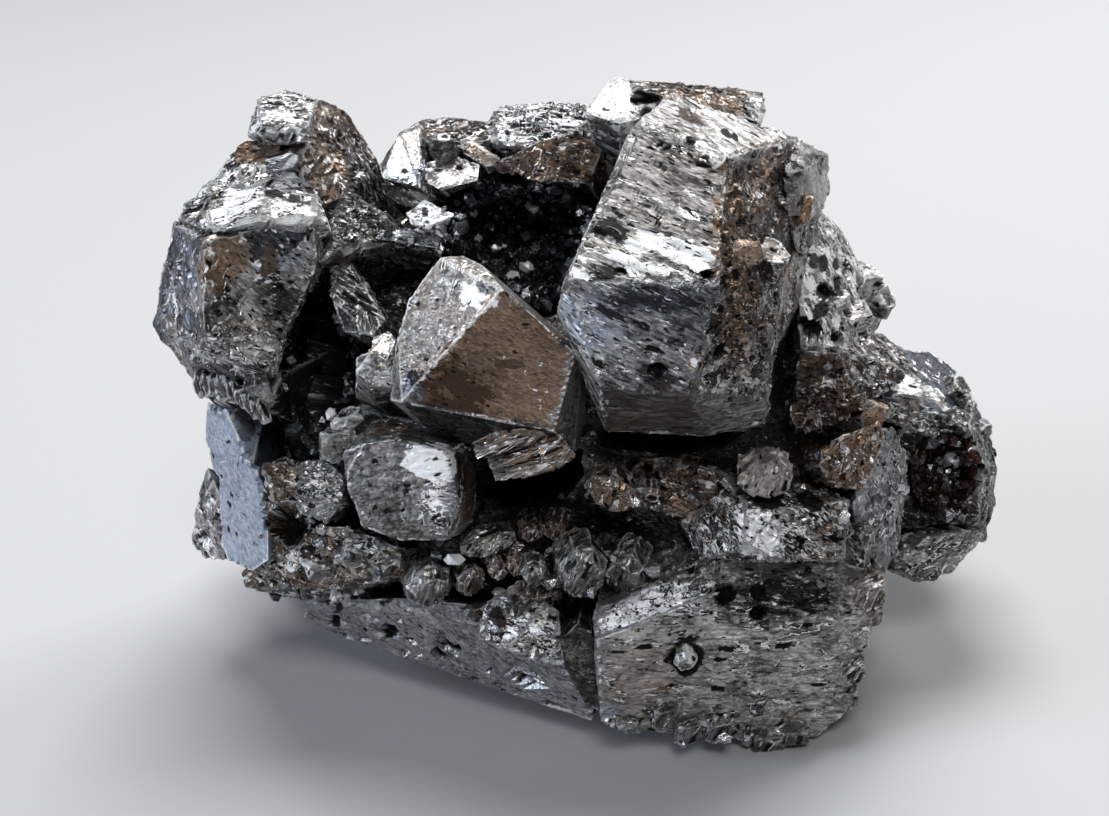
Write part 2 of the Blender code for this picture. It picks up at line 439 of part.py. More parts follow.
# Hollows and pits: centre, radii and turn about X and Y in degrees
HOLLOWS = {
    "left_hollow": ((-15.5, -4.4, 21.9), (2.4, 6.6, 6.6), (-25, 5)),
    "upper_pocket": ((-4.2, -2.4, 27.3), (4.9, 5.2, 4.0), (-22, 0)),
    "right_cup": ((21.1, -3.6, 13.2), (2.3, 2.7, 2.8), (-15, 0)),
}
PITS = {
    "hollow_foot": ((-18.3, -6.8, 18.3), (1.9, 3.0, 0.9), (-20, 25)),
    "round_hole": ((-17.3, -10.2, 13.2), (1.15, 2.8, 1.1), (-10, 0)),
    "pit_mouth_left": ((-4.0, -8.6, 16.2), (3.4, 4.2, 2.4), (-25, 0)),
    "pit_mouth_right": ((4.8, -9.8, 18.6), (4.6, 4.6, 1.4), (-10, 0)),
    "grooved_socket": ((9.5, -12.0, 17.2), (2.0, 1.6, 1.75), (-10, 0)),
    "rust_hole": ((12.1, -11.0, 15.8), (0.85, 1.2, 0.8), (-10, 0)),
    "block_socket": ((5.1, -14.4, 6.9), (1.0, 0.9, 1.15), (0, 0)),
    "shelf_socket": ((3.3, -10.6, 15.3), (1.1, 1.1, 0.95), (0, 0)),
    "ledge_hole_1": ((7.3, -13.2, 10.6), (0.6, 0.9, 0.6), (0, 0)),
    "ledge_hole_2": ((9.3, -13.1, 10.5), (0.5, 0.8, 0.55), (0, 0)),
    "ledge_hole_3": ((9.2, -13.0, 9.3), (0.5, 0.8, 0.45), (0, 0)),
    "ledge_hole_4": ((13.0, -12.3, 9.8), (0.55, 0.8, 0.6), (0, 0)),
    "ledge_hole_5": ((5.4, -12.4, 11.6), (0.4, 0.9, 0.4), (0, 0)),
    "side_recess": ((10.2, -10.2, 21.6), (0.95, 3.4, 2.2), (0, 0)),
    "mass_hole_1": ((12.9, -7.3, 26.0), (0.9, 1.4, 0.55), (0, 15)),
    "mass_hole_2": ((14.0, -5.6, 26.0), (0.55, 1.2, 0.5), (0, 0)),
    "mass_slot": ((11.9, -9.2, 24.6), (1.1, 1.6, 0.45), (0, 35)),
    "block_hole_1": ((5.4, -16.3, 30.8), (0.45, 0.8, 0.4), (-30, 0)),
    "block_hole_2": ((7.0, -15.9, 30.6), (0.4, 0.9, 0.55), (-20, 0)),
    "block_hole_3": ((3.0, -17.2, 26.0), (0.5, 0.7, 0.45), (0, 0)),
    "block_hole_4": ((6.2, -16.9, 26.8), (0.4, 0.7, 0.6), (0, 15)),
    "block_hole_5": ((1.1, -16.1, 30.9), (0.35, 0.5, 0.3), (-30, 0)),
    "block_hole_6": ((4.8, -14.0, 33.9), (0.45, 0.5, 0.3), (-30, 10)),
    "block_hole_7": ((4.7, -12.2, 36.5), (0.25, 0.4, 0.25), (-30, 0)),
    "face_pit": ((-4.4, -15.1, 25.0), (0.75, 0.35, 0.25), (0, -10)),
    "triangle_slot": ((2.9, -1.2, 35.5), (0.9, 1.6, 0.45), (-20, 10)),
    "under_pit_1": ((-15.7, -7.0, 4.7), (0.55, 0.7, 0.4), (0, 0)),
    "under_pit_2": ((-12.3, -8.1, 4.9), (0.6, 0.7, 0.4), (0, 0)),
    "under_pit_3": ((-9.0, -9.5, 4.5), (0.5, 0.7, 0.4), (0, 0)),
}

# Etched steps across the big block's upper face: the two ends and the width of each step,
# with a riser on its upper side and a long shallow apron below
GROOVE_DEPTH = 0.4
APRON = 1.6
BLOCK_OUTWARD = (-0.04, -0.81, 0.59)
BLOCK_GROOVES = {
    "groove_1": ((2.4, -11.8, 37.0), (5.1, -12.5, 36.2), 0.4),
    "groove_2": ((1.9, -12.5, 36.0), (4.7, -12.9, 35.6), 0.5),
    "groove_3": ((2.1, -13.1, 35.1), (5.4, -13.7, 34.5), 0.6),
    "groove_4": ((0.4, -14.0, 33.7), (2.8, -14.6, 33.1), 0.4),
    "groove_5": ((2.4, -14.1, 33.7), (4.2, -14.2, 33.6), 0.4),
    "groove_6": ((0.2, -14.6, 32.9), (1.2, -15.2, 32.2), 0.6),
    "groove_7": ((0.7, -15.4, 31.9), (4.6, -16.0, 31.3), 0.5),
    "groove_8": ((2.6, -15.1, 32.5), (5.0, -15.4, 32.3), 0.5),
    "groove_9": ((1.7, -16.4, 30.6), (3.4, -16.8, 30.1), 0.5),
}


def clear_scene():
    for item in list(bpy.data.objects):
        bpy.data.objects.remove(item, do_unlink=True)


def material(name, color, roughness, metallic):
    made = bpy.data.materials.new(name)
    made.use_nodes = True
    shader = made.node_tree.nodes["Principled BSDF"]
    shader.inputs["Base Color"].default_value = (*color, 1.0)
    shader.inputs["Roughness"].default_value = roughness
    shader.inputs["Metallic"].default_value = metallic
    return made


def turned(degrees):
    """Rotation about X, then Y, then Z."""
    return Euler([math.radians(angle) for angle in degrees], "XYZ").to_matrix()


def guide(name, mesh):
    """A shape that another one is joined with or cut by, and that isn't part of the object."""
    made = bpy.data.objects.new(name, mesh)
    bpy.context.scene.collection.objects.link(made)
    made.hide_render = True
    made.display_type = "WIRE"
    return made


def hull(name, corners):
    """The convex hull of corners given in millimetres."""
    shape = bmesh.new()
    points = [shape.verts.new(Vector(corner) * MM) for corner in corners]
    result = bmesh.ops.convex_hull(shape, input=points)
    inner = [item for item in result["geom_interior"] if isinstance(item, bmesh.types.BMVert)]
    unused = [vert for vert in shape.verts if not vert.link_faces]
    bmesh.ops.delete(shape, geom=list(set(inner + unused)), context="VERTS")
    bmesh.ops.recalc_face_normals(shape, faces=shape.faces)
    mesh = bpy.data.meshes.new(name)
    shape.to_mesh(mesh)
    shape.free()
    return guide(name, mesh)


def cut_cube_corners(centre, half, turn, cut):
    """Corners of a box whose eight corners are cut off, as a cube grown into an octahedron."""
    rotation = turned(turn)
    corners = []
    for x in (-1, 1):
        for y in (-1, 1):
            for z in (-1, 1):
                for axis in range(3):
                    point = Vector((x, y, z))
                    point[axis] *= 1 - cut
                    point = Vector(a * b for a, b in zip(point, half))
                    corners.append(rotation @ point + Vector(centre))
    return corners


def octahedron_corners(centre, half, turn):
    rotation = turned(turn)
    corners = []
    for axis in range(3):
        for way in (-half, half):
            point = Vector((0, 0, 0))
            point[axis] = way
            corners.append(rotation @ point + Vector(centre))
    return corners


def pebble(name, centre, radii, turn, segments=8, rings=5, uneven=0.0):
    """A faceted ellipsoid with its poles along Y, used to cut a hollow or a pit."""
    shape = bmesh.new()
    bmesh.ops.create_uvsphere(shape, u_segments=segments, v_segments=rings, radius=1.0)
    poles_along_y = Euler((math.radians(90), 0, 0)).to_matrix()
    rotation = turned((*turn, 0))
    chance = random.Random(HOLLOW_SEED)
    for vert in shape.verts:
        point = poles_along_y @ vert.co * chance.uniform(1 - uneven, 1)
        point = Vector(a * b for a, b in zip(point, radii))
        vert.co = (rotation @ point + Vector(centre)) * MM
    bmesh.ops.triangulate(shape, faces=shape.faces)
    bmesh.ops.recalc_face_normals(shape, faces=shape.faces)
    mesh = bpy.data.meshes.new(name)
    shape.to_mesh(mesh)
    shape.free()
    return guide(name, mesh)


def hollow_wall(name, centre, radii, turn):
    return pebble(name, centre, radii, turn, HOLLOW_SEGMENTS, HOLLOW_RINGS, HOLLOW_UNEVEN)


def pit(name, centre, radii, turn):
    """A pit; the small ones are six-sided."""
    if max(radii) < SMALL_PIT:
        return pebble(name, centre, radii, turn, SMALL_PIT_SIDES, SMALL_PIT_RINGS)
    return pebble(name, centre, radii, turn)


def combine(target, operation, others):
    """Joins others to the target, or cuts them from it, and keeps the result as its mesh."""
    group = bpy.data.collections.new(operation.lower())
    bpy.context.scene.collection.children.link(group)
    for other in others:
        group.objects.link(other)
    modifier = target.modifiers.new(operation.lower(), "BOOLEAN")
    modifier.operation = operation
    modifier.operand_type = "COLLECTION"
    modifier.collection = group
    modifier.solver = "EXACT"
    bpy.context.view_layer.update()
    evaluated = target.evaluated_get(bpy.context.evaluated_depsgraph_get())
    mesh = bpy.data.meshes.new_from_object(evaluated)
    target.modifiers.clear()
    target.data = mesh
    for other in others:
        bpy.data.objects.remove(other, do_unlink=True)
    bpy.data.collections.remove(group)


def islands(shape):
    """The faces of a mesh, grouped by what hangs together."""
    left = set(shape.faces)
    groups = []
    while left:
        start = left.pop()
        group = [start]
        stack = [start]
        while stack:
            for edge in stack.pop().edges:
                for face in edge.link_faces:
                    if face in left:
                        left.remove(face)
                        group.append(face)
                        stack.append(face)
        groups.append(group)
    return groups


def volume(faces):
    total = 0.0
    for face in faces:
        first = face.verts[0].co
        for second, third in zip(face.verts[1:], face.verts[2:]):
            total += first.dot(second.co.cross(third.co)) / 6
    return total


def can_collapse(edge):
    """An edge can close up if its ends share only the two corners beside it."""
    first, second = edge.verts
    around_first = {other.other_vert(first) for other in first.link_edges}
    around_second = {other.other_vert(second) for other in second.link_edges}
    return len(around_first & around_second) == 2


def close_short_edges(shape):
    """Closes up edges too short to see."""
    closed = 0
    for edge in sorted(shape.edges, key=lambda item: item.calc_length()):
        if edge.is_valid and edge.calc_length() < SHORTEST_EDGE * MM and can_collapse(edge):
            ends = list(edge.verts)
            bmesh.ops.pointmerge(shape, verts=ends, merge_co=ends[0].co)
            closed += 1
    return closed


def can_turn(edge):
    """An edge can turn if the two corners beside it aren't joined yet."""
    corners = {vert for face in edge.link_faces for vert in face.verts} - set(edge.verts)
    if len(corners) != 2:
        return False
    first, second = corners
    return not any(other.other_vert(first) is second for other in first.link_edges)


def turn_flat_faces(shape):
    """Turns the long edge of each triangle that has no height."""
    turned_edges = 0
    for face in list(shape.faces):
        if face.is_valid:
            longest = max(face.edges, key=lambda item: item.calc_length())
            height = 2 * face.calc_area() / longest.calc_length()
            if height < THINNEST_FACE * MM and can_turn(longest):
                bmesh.utils.edge_rotate(longest, True)
                turned_edges += 1
    return turned_edges


def tidied(target):
    """Keeps the one outer body, with closed bubbles inside it filled and loose crumbs gone."""
    shape = bmesh.new()
    shape.from_mesh(target.data)
    bmesh.ops.triangulate(shape, faces=shape.faces)
    for _ in range(CLEANING_ROUNDS):
        if close_short_edges(shape) + turn_flat_faces(shape) == 0:
            break
    groups = islands(shape)
    body = max(groups, key=volume)
    for group in groups:
        if group is not body:
            bmesh.ops.delete(shape, geom=group, context="FACES")
    shape.to_mesh(target.data)
    shape.free()


def finish_node(target, name, finish):
    target.name = name
    target.data.name = name
    target.hide_render = False
    target.display_type = "TEXTURED"
    target.data.materials.clear()
    target.data.materials.append(finish)


def groove_corners(start, end, width):
    """A long wedge that cuts a step between two points on the big block's upper face."""
    start = Vector(start)
    end = Vector(end)
    outward = Vector(BLOCK_OUTWARD)
    along = (end - start).normalized()
    upward = outward.cross(along).normalized() * width
    if upward.z < 0:
        upward.negate()
    corners = []
    for point, inward in ((start, along), (end, -along)):
        corners.append(point + upward / 2 + outward * GROOVE_DEPTH)
        corners.append(point - upward * APRON + outward * GROOVE_DEPTH)
        corners.append(point - upward * APRON)
        corners.append(point + inward * width - outward * GROOVE_DEPTH)
    return corners


def cluster():
    """All the crystals grown together, with the hollows and pits cut and the foot made flat."""
    target = hull("core_start", CORE["core"])
    regions = (
        CORE, LEFT_PEAK, LEFT_BLOCK, LEFT_WALL, BACK_RIDGE, UPPER_RIGHT, RIGHT_SIDE, RIGHT_LOBE,
        CENTRE, LOWER_LEFT, LOWER_RIGHT,
    )
    grown = []
    for region in regions:
        for name, corners in region.items():
            if name != "core":
                grown.append(hull(name, corners))
    for name, row in {**PIT_CRYSTALS, **BUMP_CRYSTALS, **BACK_CRYSTALS}.items():
        grown.append(hull(name, cut_cube_corners(*row)))
    combine(target, "UNION", grown)
    cutters = [hollow_wall(name, *row) for name, row in HOLLOWS.items()]
    cutters += [pit(name, *row) for name, row in PITS.items()]
    cutters += [hull(name, groove_corners(*row)) for name, row in BLOCK_GROOVES.items()]
    combine(target, "DIFFERENCE", cutters)
    seated = [hull(name, cut_cube_corners(*row)) for name, row in SOCKET_CRYSTALS.items()]
    combine(target, "UNION", seated)
    half = FLOOR_CUT_SIZE / 2
    below = [
        (x, y, z)
        for x in (-half, half)
        for y in (-half, half)
        for z in (-FLOOR_CUT_DEPTH, 0)
    ]
    combine(target, "DIFFERENCE", [hull("floor_cut", below)])
    tidied(target)
    return target


def druse(name, row, count, size):
    """The crust of one hollow: a thin bowl along its wall, open in front, set with crystals."""
    centre, radii, turn = row
    rotation = turned((*turn, 0))
    centre = Vector(centre)
    outer = [radius - CRUST_GAP for radius in radii]
    inner = [radius - CRUST_THICKNESS for radius in outer]
    target = hollow_wall(name, centre, outer, turn)
    combine(target, "DIFFERENCE", [hollow_wall("bowl", centre, inner, turn)])
    front = centre + rotation @ Vector((0, -radii[1] * (1 - CRUST_REACH), 0))
    wide = [radii[0] + 1, radii[1], radii[2] + 1]
    mouth = cut_cube_corners(front, wide, (*turn, 0), 0.0)
    combine(target, "DIFFERENCE", [hull("mouth", mouth)])
    chance = random.Random(DRUSE_SEED)
    seeds = []
    for index in range(count):
        height = 1 - SEED_SPREAD * (index + 0.5) / count
        around = index * math.pi * (3 - math.sqrt(5))
        ring = math.sqrt(1 - height * height)
        direction = Vector((ring * math.cos(around), height, ring * math.sin(around)))
        point = rotation @ Vector(a * b for a, b in zip(direction, inner))
        half = size * chance.uniform(SMALLEST_SEED, 1.0)
        turn_by = [chance.uniform(0, 90) for _ in range(3)]
        corners = octahedron_corners(centre + point, half, turn_by)
        seeds.append(hull("seed_%02d" % index, corners))
    combine(target, "UNION", seeds)
    combine(target, "INTERSECT", [hollow_wall("wall", centre, outer, turn)])
    tidied(target)
    return target


clear_scene()
hematite = material("hematite", (0.16, 0.16, 0.17), 0.34, 1.0)
dark_druse = material("dark_druse", (0.05, 0.045, 0.045), 0.3, 1.0)
red_druse = material("red_druse", (0.09, 0.04, 0.03), 0.3, 1.0)
finish_node(cluster(), "hematite_cluster", hematite)
left_crust = druse("left", HOLLOWS["left_hollow"], LEFT_SEEDS, LEFT_SEED_SIZE)
finish_node(left_crust, "left_hollow_druse", dark_druse)
pocket_crust = druse("upper", HOLLOWS["upper_pocket"], POCKET_SEEDS, POCKET_SEED_SIZE)
finish_node(pocket_crust, "upper_pocket_druse", dark_druse)
cup_crust = druse("cup", HOLLOWS["right_cup"], CUP_SEEDS, CUP_SEED_SIZE)
finish_node(cup_crust, "right_cup_druse", red_druse)
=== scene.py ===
"""Hematite specimen: the surfaces of its intergrown crystals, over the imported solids.

Sizes are in millimetres until a mesh is made. The front looks to -Y."""

import itertools
import json
import math

import bpy
import numpy as np
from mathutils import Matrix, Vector
from mathutils.bvhtree import BVHTree

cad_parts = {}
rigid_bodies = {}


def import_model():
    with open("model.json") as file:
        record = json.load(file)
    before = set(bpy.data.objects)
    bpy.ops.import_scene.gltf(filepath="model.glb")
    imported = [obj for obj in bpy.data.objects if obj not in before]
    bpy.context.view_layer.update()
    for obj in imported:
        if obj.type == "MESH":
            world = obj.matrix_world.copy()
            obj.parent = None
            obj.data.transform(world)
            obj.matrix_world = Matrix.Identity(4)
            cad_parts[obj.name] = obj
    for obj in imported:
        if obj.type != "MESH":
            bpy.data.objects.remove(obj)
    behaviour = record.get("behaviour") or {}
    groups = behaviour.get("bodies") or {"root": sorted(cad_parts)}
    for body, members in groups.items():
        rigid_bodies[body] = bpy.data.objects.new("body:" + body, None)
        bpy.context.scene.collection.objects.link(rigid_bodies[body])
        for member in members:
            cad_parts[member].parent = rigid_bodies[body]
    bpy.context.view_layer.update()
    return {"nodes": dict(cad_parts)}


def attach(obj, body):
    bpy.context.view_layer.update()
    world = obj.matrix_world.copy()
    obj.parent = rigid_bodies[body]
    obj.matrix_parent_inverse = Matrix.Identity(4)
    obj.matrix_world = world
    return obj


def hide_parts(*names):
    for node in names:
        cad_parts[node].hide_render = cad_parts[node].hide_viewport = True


for leftover in list(bpy.data.objects):
    bpy.data.objects.remove(leftover, do_unlink=True)
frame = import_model()
MM = 0.001

# The table top, the soft lights and the view.
# A plain pale surface that the specimen stands on, with one large soft light above and
# behind it, a bluish one at its left and weaker ones in front and at its right.
TABLE_HALF = 1.5
table = bpy.data.meshes.new("table")
table.from_pydata([(-TABLE_HALF, -TABLE_HALF, 0), (TABLE_HALF, -TABLE_HALF, 0),
                   (TABLE_HALF, TABLE_HALF, 0), (-TABLE_HALF, TABLE_HALF, 0)], [], [(0, 1, 2, 3)])
table_top = bpy.data.objects.new("table", table)
bpy.context.scene.collection.objects.link(table_top)
paper = bpy.data.materials.new("pale_paper")
paper.use_nodes = True
paper_inputs = paper.node_tree.nodes["Principled BSDF"].inputs
paper_inputs["Base Color"].default_value = (0.36, 0.36, 0.37, 1)
paper_inputs["Roughness"].default_value = 0.9
table.materials.append(paper)


def softbox(name, place, size, power, tint):
    """A rectangular area light at place, in metres, that points at the specimen's middle."""
    light = bpy.data.lights.new(name, "AREA")
    light.shape = "RECTANGLE"
    light.size, light.size_y = size
    light.energy = power
    light.color = tint
    lamp = bpy.data.objects.new(name, light)
    bpy.context.scene.collection.objects.link(lamp)
    lamp.location = place
    lamp.rotation_euler = (Vector((0, 0, 0.018)) - Vector(place)).to_track_quat("-Z", "Y").to_euler()


softbox("top_light", (-0.02, 0.12, 0.42), (0.24, 0.16), 2.6, (1.0, 0.99, 0.97))
softbox("left_light", (-0.34, -0.10, 0.16), (0.14, 0.2), 0.8, (0.78, 0.87, 1.0))
softbox("front_light", (0.02, -0.30, 0.36), (0.14, 0.10), 0.8, (1.0, 0.98, 0.95))
softbox("right_light", (0.22, 0.23, 0.24), (0.14, 0.14), 1.0, (1.0, 1.0, 1.0))
world = bpy.data.worlds.new("room")
world.use_nodes = True
world.node_tree.nodes["Background"].inputs["Color"].default_value = (0.035, 0.037, 0.042, 1)
bpy.context.scene.world = world
bpy.context.scene.view_settings.view_transform = "Standard"

lens = bpy.data.cameras.new("view")
lens.sensor_width = 36.0
lens.sensor_fit = "HORIZONTAL"
lens.lens = 61.68
lens.clip_start = 0.005
camera = bpy.data.objects.new("view", lens)
bpy.context.scene.collection.objects.link(camera)
camera.location = Vector((-2.2, -104.91, 64.76)) * MM
aim = Vector((-2.2, -2.5, 17.0)) * MM
camera.rotation_euler = (aim - camera.location).to_track_quat("-Z", "Y").to_euler()
bpy.context.scene.camera = camera

# The core and the hollows in the cluster.
# The dark mass of hematite that all the crystals grow from; it shows only as the floors of
# the clefts between them, and its dark colour stands partly for the painted shade in those clefts.
# The hollows are places that no crystal grew into.
SHUFFLED = np.random.default_rng(11).random(65536)


def lattice(cell, layer):
    """A fixed random number for each whole-numbered cell."""
    x, y, z = cell.astype(np.int64)
    return SHUFFLED[((x * 73856093) ^ (y * 19349663) ^ (z * 83492791) ^ (layer * 26544357)) & 65535]


def noise(points, layer):
    """Smooth noise from 0 to 1: random numbers at whole-numbered points, eased between."""
    p = points.T
    low = np.floor(p)
    f = p - low
    f = f * f * (3 - 2 * f)
    total = 0
    for corner in itertools.product((0, 1), repeat=3):
        weight = np.prod([f[a] if corner[a] else 1 - f[a] for a in range(3)], axis=0)
        total = total + weight * lattice(low + np.array(corner)[:, None], layer)
    return total


def rough_noise(points, octaves, layer):
    """Noise at several scales, each half as strong and twice as fine as the last."""
    return sum(noise(points * 2**k + 17.3 * k, layer + k) / 2 ** (k + 1) for k in range(octaves))


NOISE_MIDDLE = 0.45    # about the mean of rough_noise


def cells(points, layer):
    """Angular cells, one random point each: how far the nearest point is, as a box round it,
    how much farther the next one is, that cell's own number, and a slope across the cell."""
    p = points.T
    low = np.floor(p)
    near, second = np.full((2, len(points)), 9.0)
    own, lean = np.zeros((2, len(points)))
    for shift in itertools.product((-1, 0, 1), repeat=3):
        cell = low + np.array(shift)[:, None]
        off = p - cell - np.stack([lattice(cell, layer + k) for k in (1, 2, 3)])
        far = abs(off).max(0)
        closer = far < near
        second = np.where(closer, near, np.minimum(second, far))
        near = np.where(closer, far, near)
        own = np.where(closer, lattice(cell, layer + 4), own)
        lean = np.where(closer, sum(off[k] * (lattice(cell, layer + 5 + k) - 0.5) for k in range(3)), lean)
    return near, second - near, own, lean


def facing(azimuth, elevation):
    """The outward direction of a face that looks azimuth degrees to the right of the front
    and elevation degrees up."""
    a, e = math.radians(azimuth), math.radians(elevation)
    return np.array([math.sin(a) * math.cos(e), -math.cos(a) * math.cos(e), math.sin(e)])


SAME_FACE = 0.994    # cosine of the angle under which two faces are one, about 6 degrees


def flat_faces(points):
    """The faces of the smallest convex body round the points, as outward normals and
    distances from zero: each plane through three points that has all the others on one side."""
    picks = np.array(list(itertools.combinations(range(len(points)), 3))).T
    a, b, c = points[picks[0]], points[picks[1]], points[picks[2]]
    normals = np.cross(b - a, c - a)
    size = np.linalg.norm(normals, axis=1)
    good = size > 1e-3
    normals, a, size = normals[good] / size[good, None], a[good], size[good]
    side = points @ normals.T - (a * normals).sum(1)
    out = side.max(0) < 1e-3
    inward = side.min(0) > -1e-3
    normals = np.concatenate([normals[out], -normals[inward]])
    size = np.concatenate([size[out], size[inward]])
    groups = []
    for index in np.argsort(-size):
        for group in groups:
            if normals[index] @ normals[group[0]] > SAME_FACE:
                group.append(index)
                break
        else:
            groups.append([index])
    merged = np.array([(normals[g] * size[g, None]).sum(0) for g in groups])
    merged /= np.linalg.norm(merged, axis=1)[:, None]
    return merged, (points @ merged.T).max(0) - 0.02


def turn_matrix(degrees):
    """Rotation about X, then Y, then Z."""
    out = np.eye(3)
    for axis, angle in enumerate(degrees):
        a = math.radians(angle)
        u, v = [k for k in range(3) if k != axis]
        step = np.eye(3)
        step[u, u] = step[v, v] = math.cos(a)
        step[v, u] = math.sin(a) * (1 if axis != 1 else -1)
        step[u, v] = -step[v, u]
        out = step @ out
    return out


def habit(centre, half, turn, cut):
    """The corners of a box whose eight corners are cut off, as a cube grown into an octahedron."""
    corners = []
    for corner in itertools.product((-1, 1), repeat=3):
        for axis in range(3):
            point = np.array(corner, float)
            point[axis] *= 1 - cut
            corners.append(turn_matrix(turn) @ (point * half) + centre)
    return corners


def barrel(centre, half, turn):
    """The corners of a short eight-sided prism that looks to the front: a smaller ring in
    front, the widest one a third of the way back, a slightly smaller one behind."""
    corners = []
    for k in range(8):
        angle = math.pi * (k + 0.5) / 4
        for size, back in ((0.72, -1.0), (1.0, -0.45), (0.9, 1.0)):
            point = np.array([size * math.cos(angle), back, size * math.sin(angle)])
            corners.append(turn_matrix(turn) @ (point * half) + centre)
    return corners


# Hollows and pits: centre, radii, and turn about X and Y in degrees
HOLLOWS = {
    "left_hollow": ((-15.5, -4.4, 21.9), (2.4, 6.6, 6.6), (-25, 5)),
    "upper_pocket": ((-4.2, -2.4, 27.3), (4.9, 5.2, 4), (-22, 0)),
    "right_cup": ((21.1, -3.6, 13.2), (2.3, 2.7, 2.8), (-15, 0)),
    "hollow_foot": ((-18.3, -6.8, 18.3), (1.9, 3, 0.9), (-20, 25)),
    "round_hole": ((-17.3, -10.2, 13.2), (1.15, 2.8, 1.1), (-10, 0)),
    "pit_mouth_left": ((-4, -8.6, 16.2), (3.4, 4.2, 2.4), (-25, 0)),
    "pit_mouth_right": ((4.8, -9.8, 18.6), (4.6, 4.6, 1.4), (-10, 0)),
    "grooved_socket": ((9.5, -12, 17.2), (2, 1.6, 1.75), (-10, 0)),
    "rust_hole": ((12.1, -11, 15.8), (0.85, 1.2, 0.8), (-10, 0)),
    "block_socket": ((5.1, -14.4, 6.9), (1, 0.9, 1.15), (0, 0)),
    "shelf_socket": ((3.3, -10.6, 15.3), (1.1, 1.1, 0.95), (0, 0)),
    "ledge_hole_1": ((7.3, -13.2, 10.6), (0.6, 0.9, 0.6), (0, 0)),
    "ledge_hole_2": ((9.3, -13.1, 10.5), (0.5, 0.8, 0.55), (0, 0)),
    "ledge_hole_3": ((9.2, -13, 9.3), (0.5, 0.8, 0.45), (0, 0)),
    "ledge_hole_4": ((13, -12.3, 9.8), (0.55, 0.8, 0.6), (0, 0)),
    "ledge_hole_5": ((5.4, -12.4, 11.6), (0.4, 0.9, 0.4), (0, 0)),
    "side_recess": ((10.2, -10.2, 21.6), (0.95, 3.4, 2.2), (0, 0)),
    "mass_hole_1": ((12.9, -7.3, 26), (0.8, 1.4, 0.38), (0, 35)),
    "mass_hole_2": ((14, -5.6, 26), (0.55, 1.2, 0.5), (0, 0)),
    "mass_slot": ((11.9, -9.2, 24.6), (1.1, 1.6, 0.45), (0, 35)),
    "block_hole_1": ((5.4, -16.3, 30.8), (0.32, 0.8, 0.22), (-30, 0)),
    "block_hole_2": ((7, -15.9, 30.6), (0.35, 0.9, 0.42), (-20, 0)),
    "block_hole_3": ((3, -17.2, 26), (0.5, 0.7, 0.3), (0, 15)),
    "block_hole_4": ((6.2, -16.9, 26.8), (0.32, 0.7, 0.5), (0, 25)),
    "block_hole_5": ((1.1, -16.1, 30.9), (0.3, 0.5, 0.14), (-30, 25)),
    "block_hole_6": ((4.7, -12.2, 36.5), (0.25, 0.4, 0.25), (-30, 0)),
    "face_pit": ((-4.4, -15.1, 25), (0.75, 0.35, 0.25), (0, -10)),
    "triangle_slot": ((2.9, -1.2, 35.5), (0.9, 1.6, 0.45), (-20, 10)),
    "under_pit_1": ((-15.7, -7, 4.7), (0.55, 0.7, 0.4), (0, 0)),
    "under_pit_2": ((-12.3, -8.1, 4.9), (0.6, 0.7, 0.4), (0, 0)),
    "under_pit_3": ((-9, -9.5, 4.5), (0.5, 0.7, 0.4), (0, 0)),
}

# How a face looks, mostly as shares from 0 to 1, and its relief in millimetres
PLAIN = {
    "tone": 0.5,        # dark to bright metal
    "brown": 0.0,       # brown or rusty film
    "blue": 0.0,        # bluish tarnish
    "polish": 0.4,      # dull to mirror-like
    "glow": 0.0,        # share with painted white highlights, in sharp-edged patches
    "lines": 0.35,      # share with growth steps drawn as thin painted highlights, with painted shadow below them
    "rims": 0.6,        # how strongly its edges carry painted white highlights
    "facets": 0.25,     # how much its grains are tilted against each other
    "etch": 0.6,        # how strongly it is etched into streaks and fine pits
    "rubble": 0.3,      # how much it is made up of tiny blocks with dark joints
    "shade": 0.1,       # share that is dark, in sharp-edged patches: dark metal, and painted shade of deep recesses
    "mosaic": 0.3,      # how much the small blocks differ in brightness and film
    "chips": 0.15,      # depth of the chips along its edges
    "pits": 0.08,       # depth of the etched pits
    "pit_size": 0.5,    # distance from pit to pit
    "pit_share": 0.3,   # share of the places that have a pit
    "stretch": 1.7,     # how far pits and grain run along the striations
    "steps": 0.0,       # depth of the growth steps
    "step_size": 0.8,   # width of the growth steps
    "blocks": 0.0,      # depth of the small blocks that it is broken or grown into
    "block_size": 1.1,  # width of those blocks
    "lumps": 0.08,      # depth of the broad unevenness
}
PAINTED = ("tone", "brown", "blue", "polish", "glow", "lines", "facets", "etch", "rubble", "shade")


def face(azimuth, elevation, width, **look):
    """How a crystal's faces look that face a direction, give or take width degrees."""
    return facing(azimuth, elevation), math.cos(math.radians(width)), look


def patch(spot, radius, **change):
    """A change of look around a spot, in a ragged ball or ellipsoid."""
    return np.array(spot), np.array(radius), change


def whole(triangles):
    """Those triangles whose three corners differ."""
    a, b, c = triangles.T
    return triangles[(a != b) & (b != c) & (a != c)]


def raised(values, power):
    """Values to a power, in place: in a new array the last digit depends on where it lies."""
    values = values.copy()
    values **= power
    return values


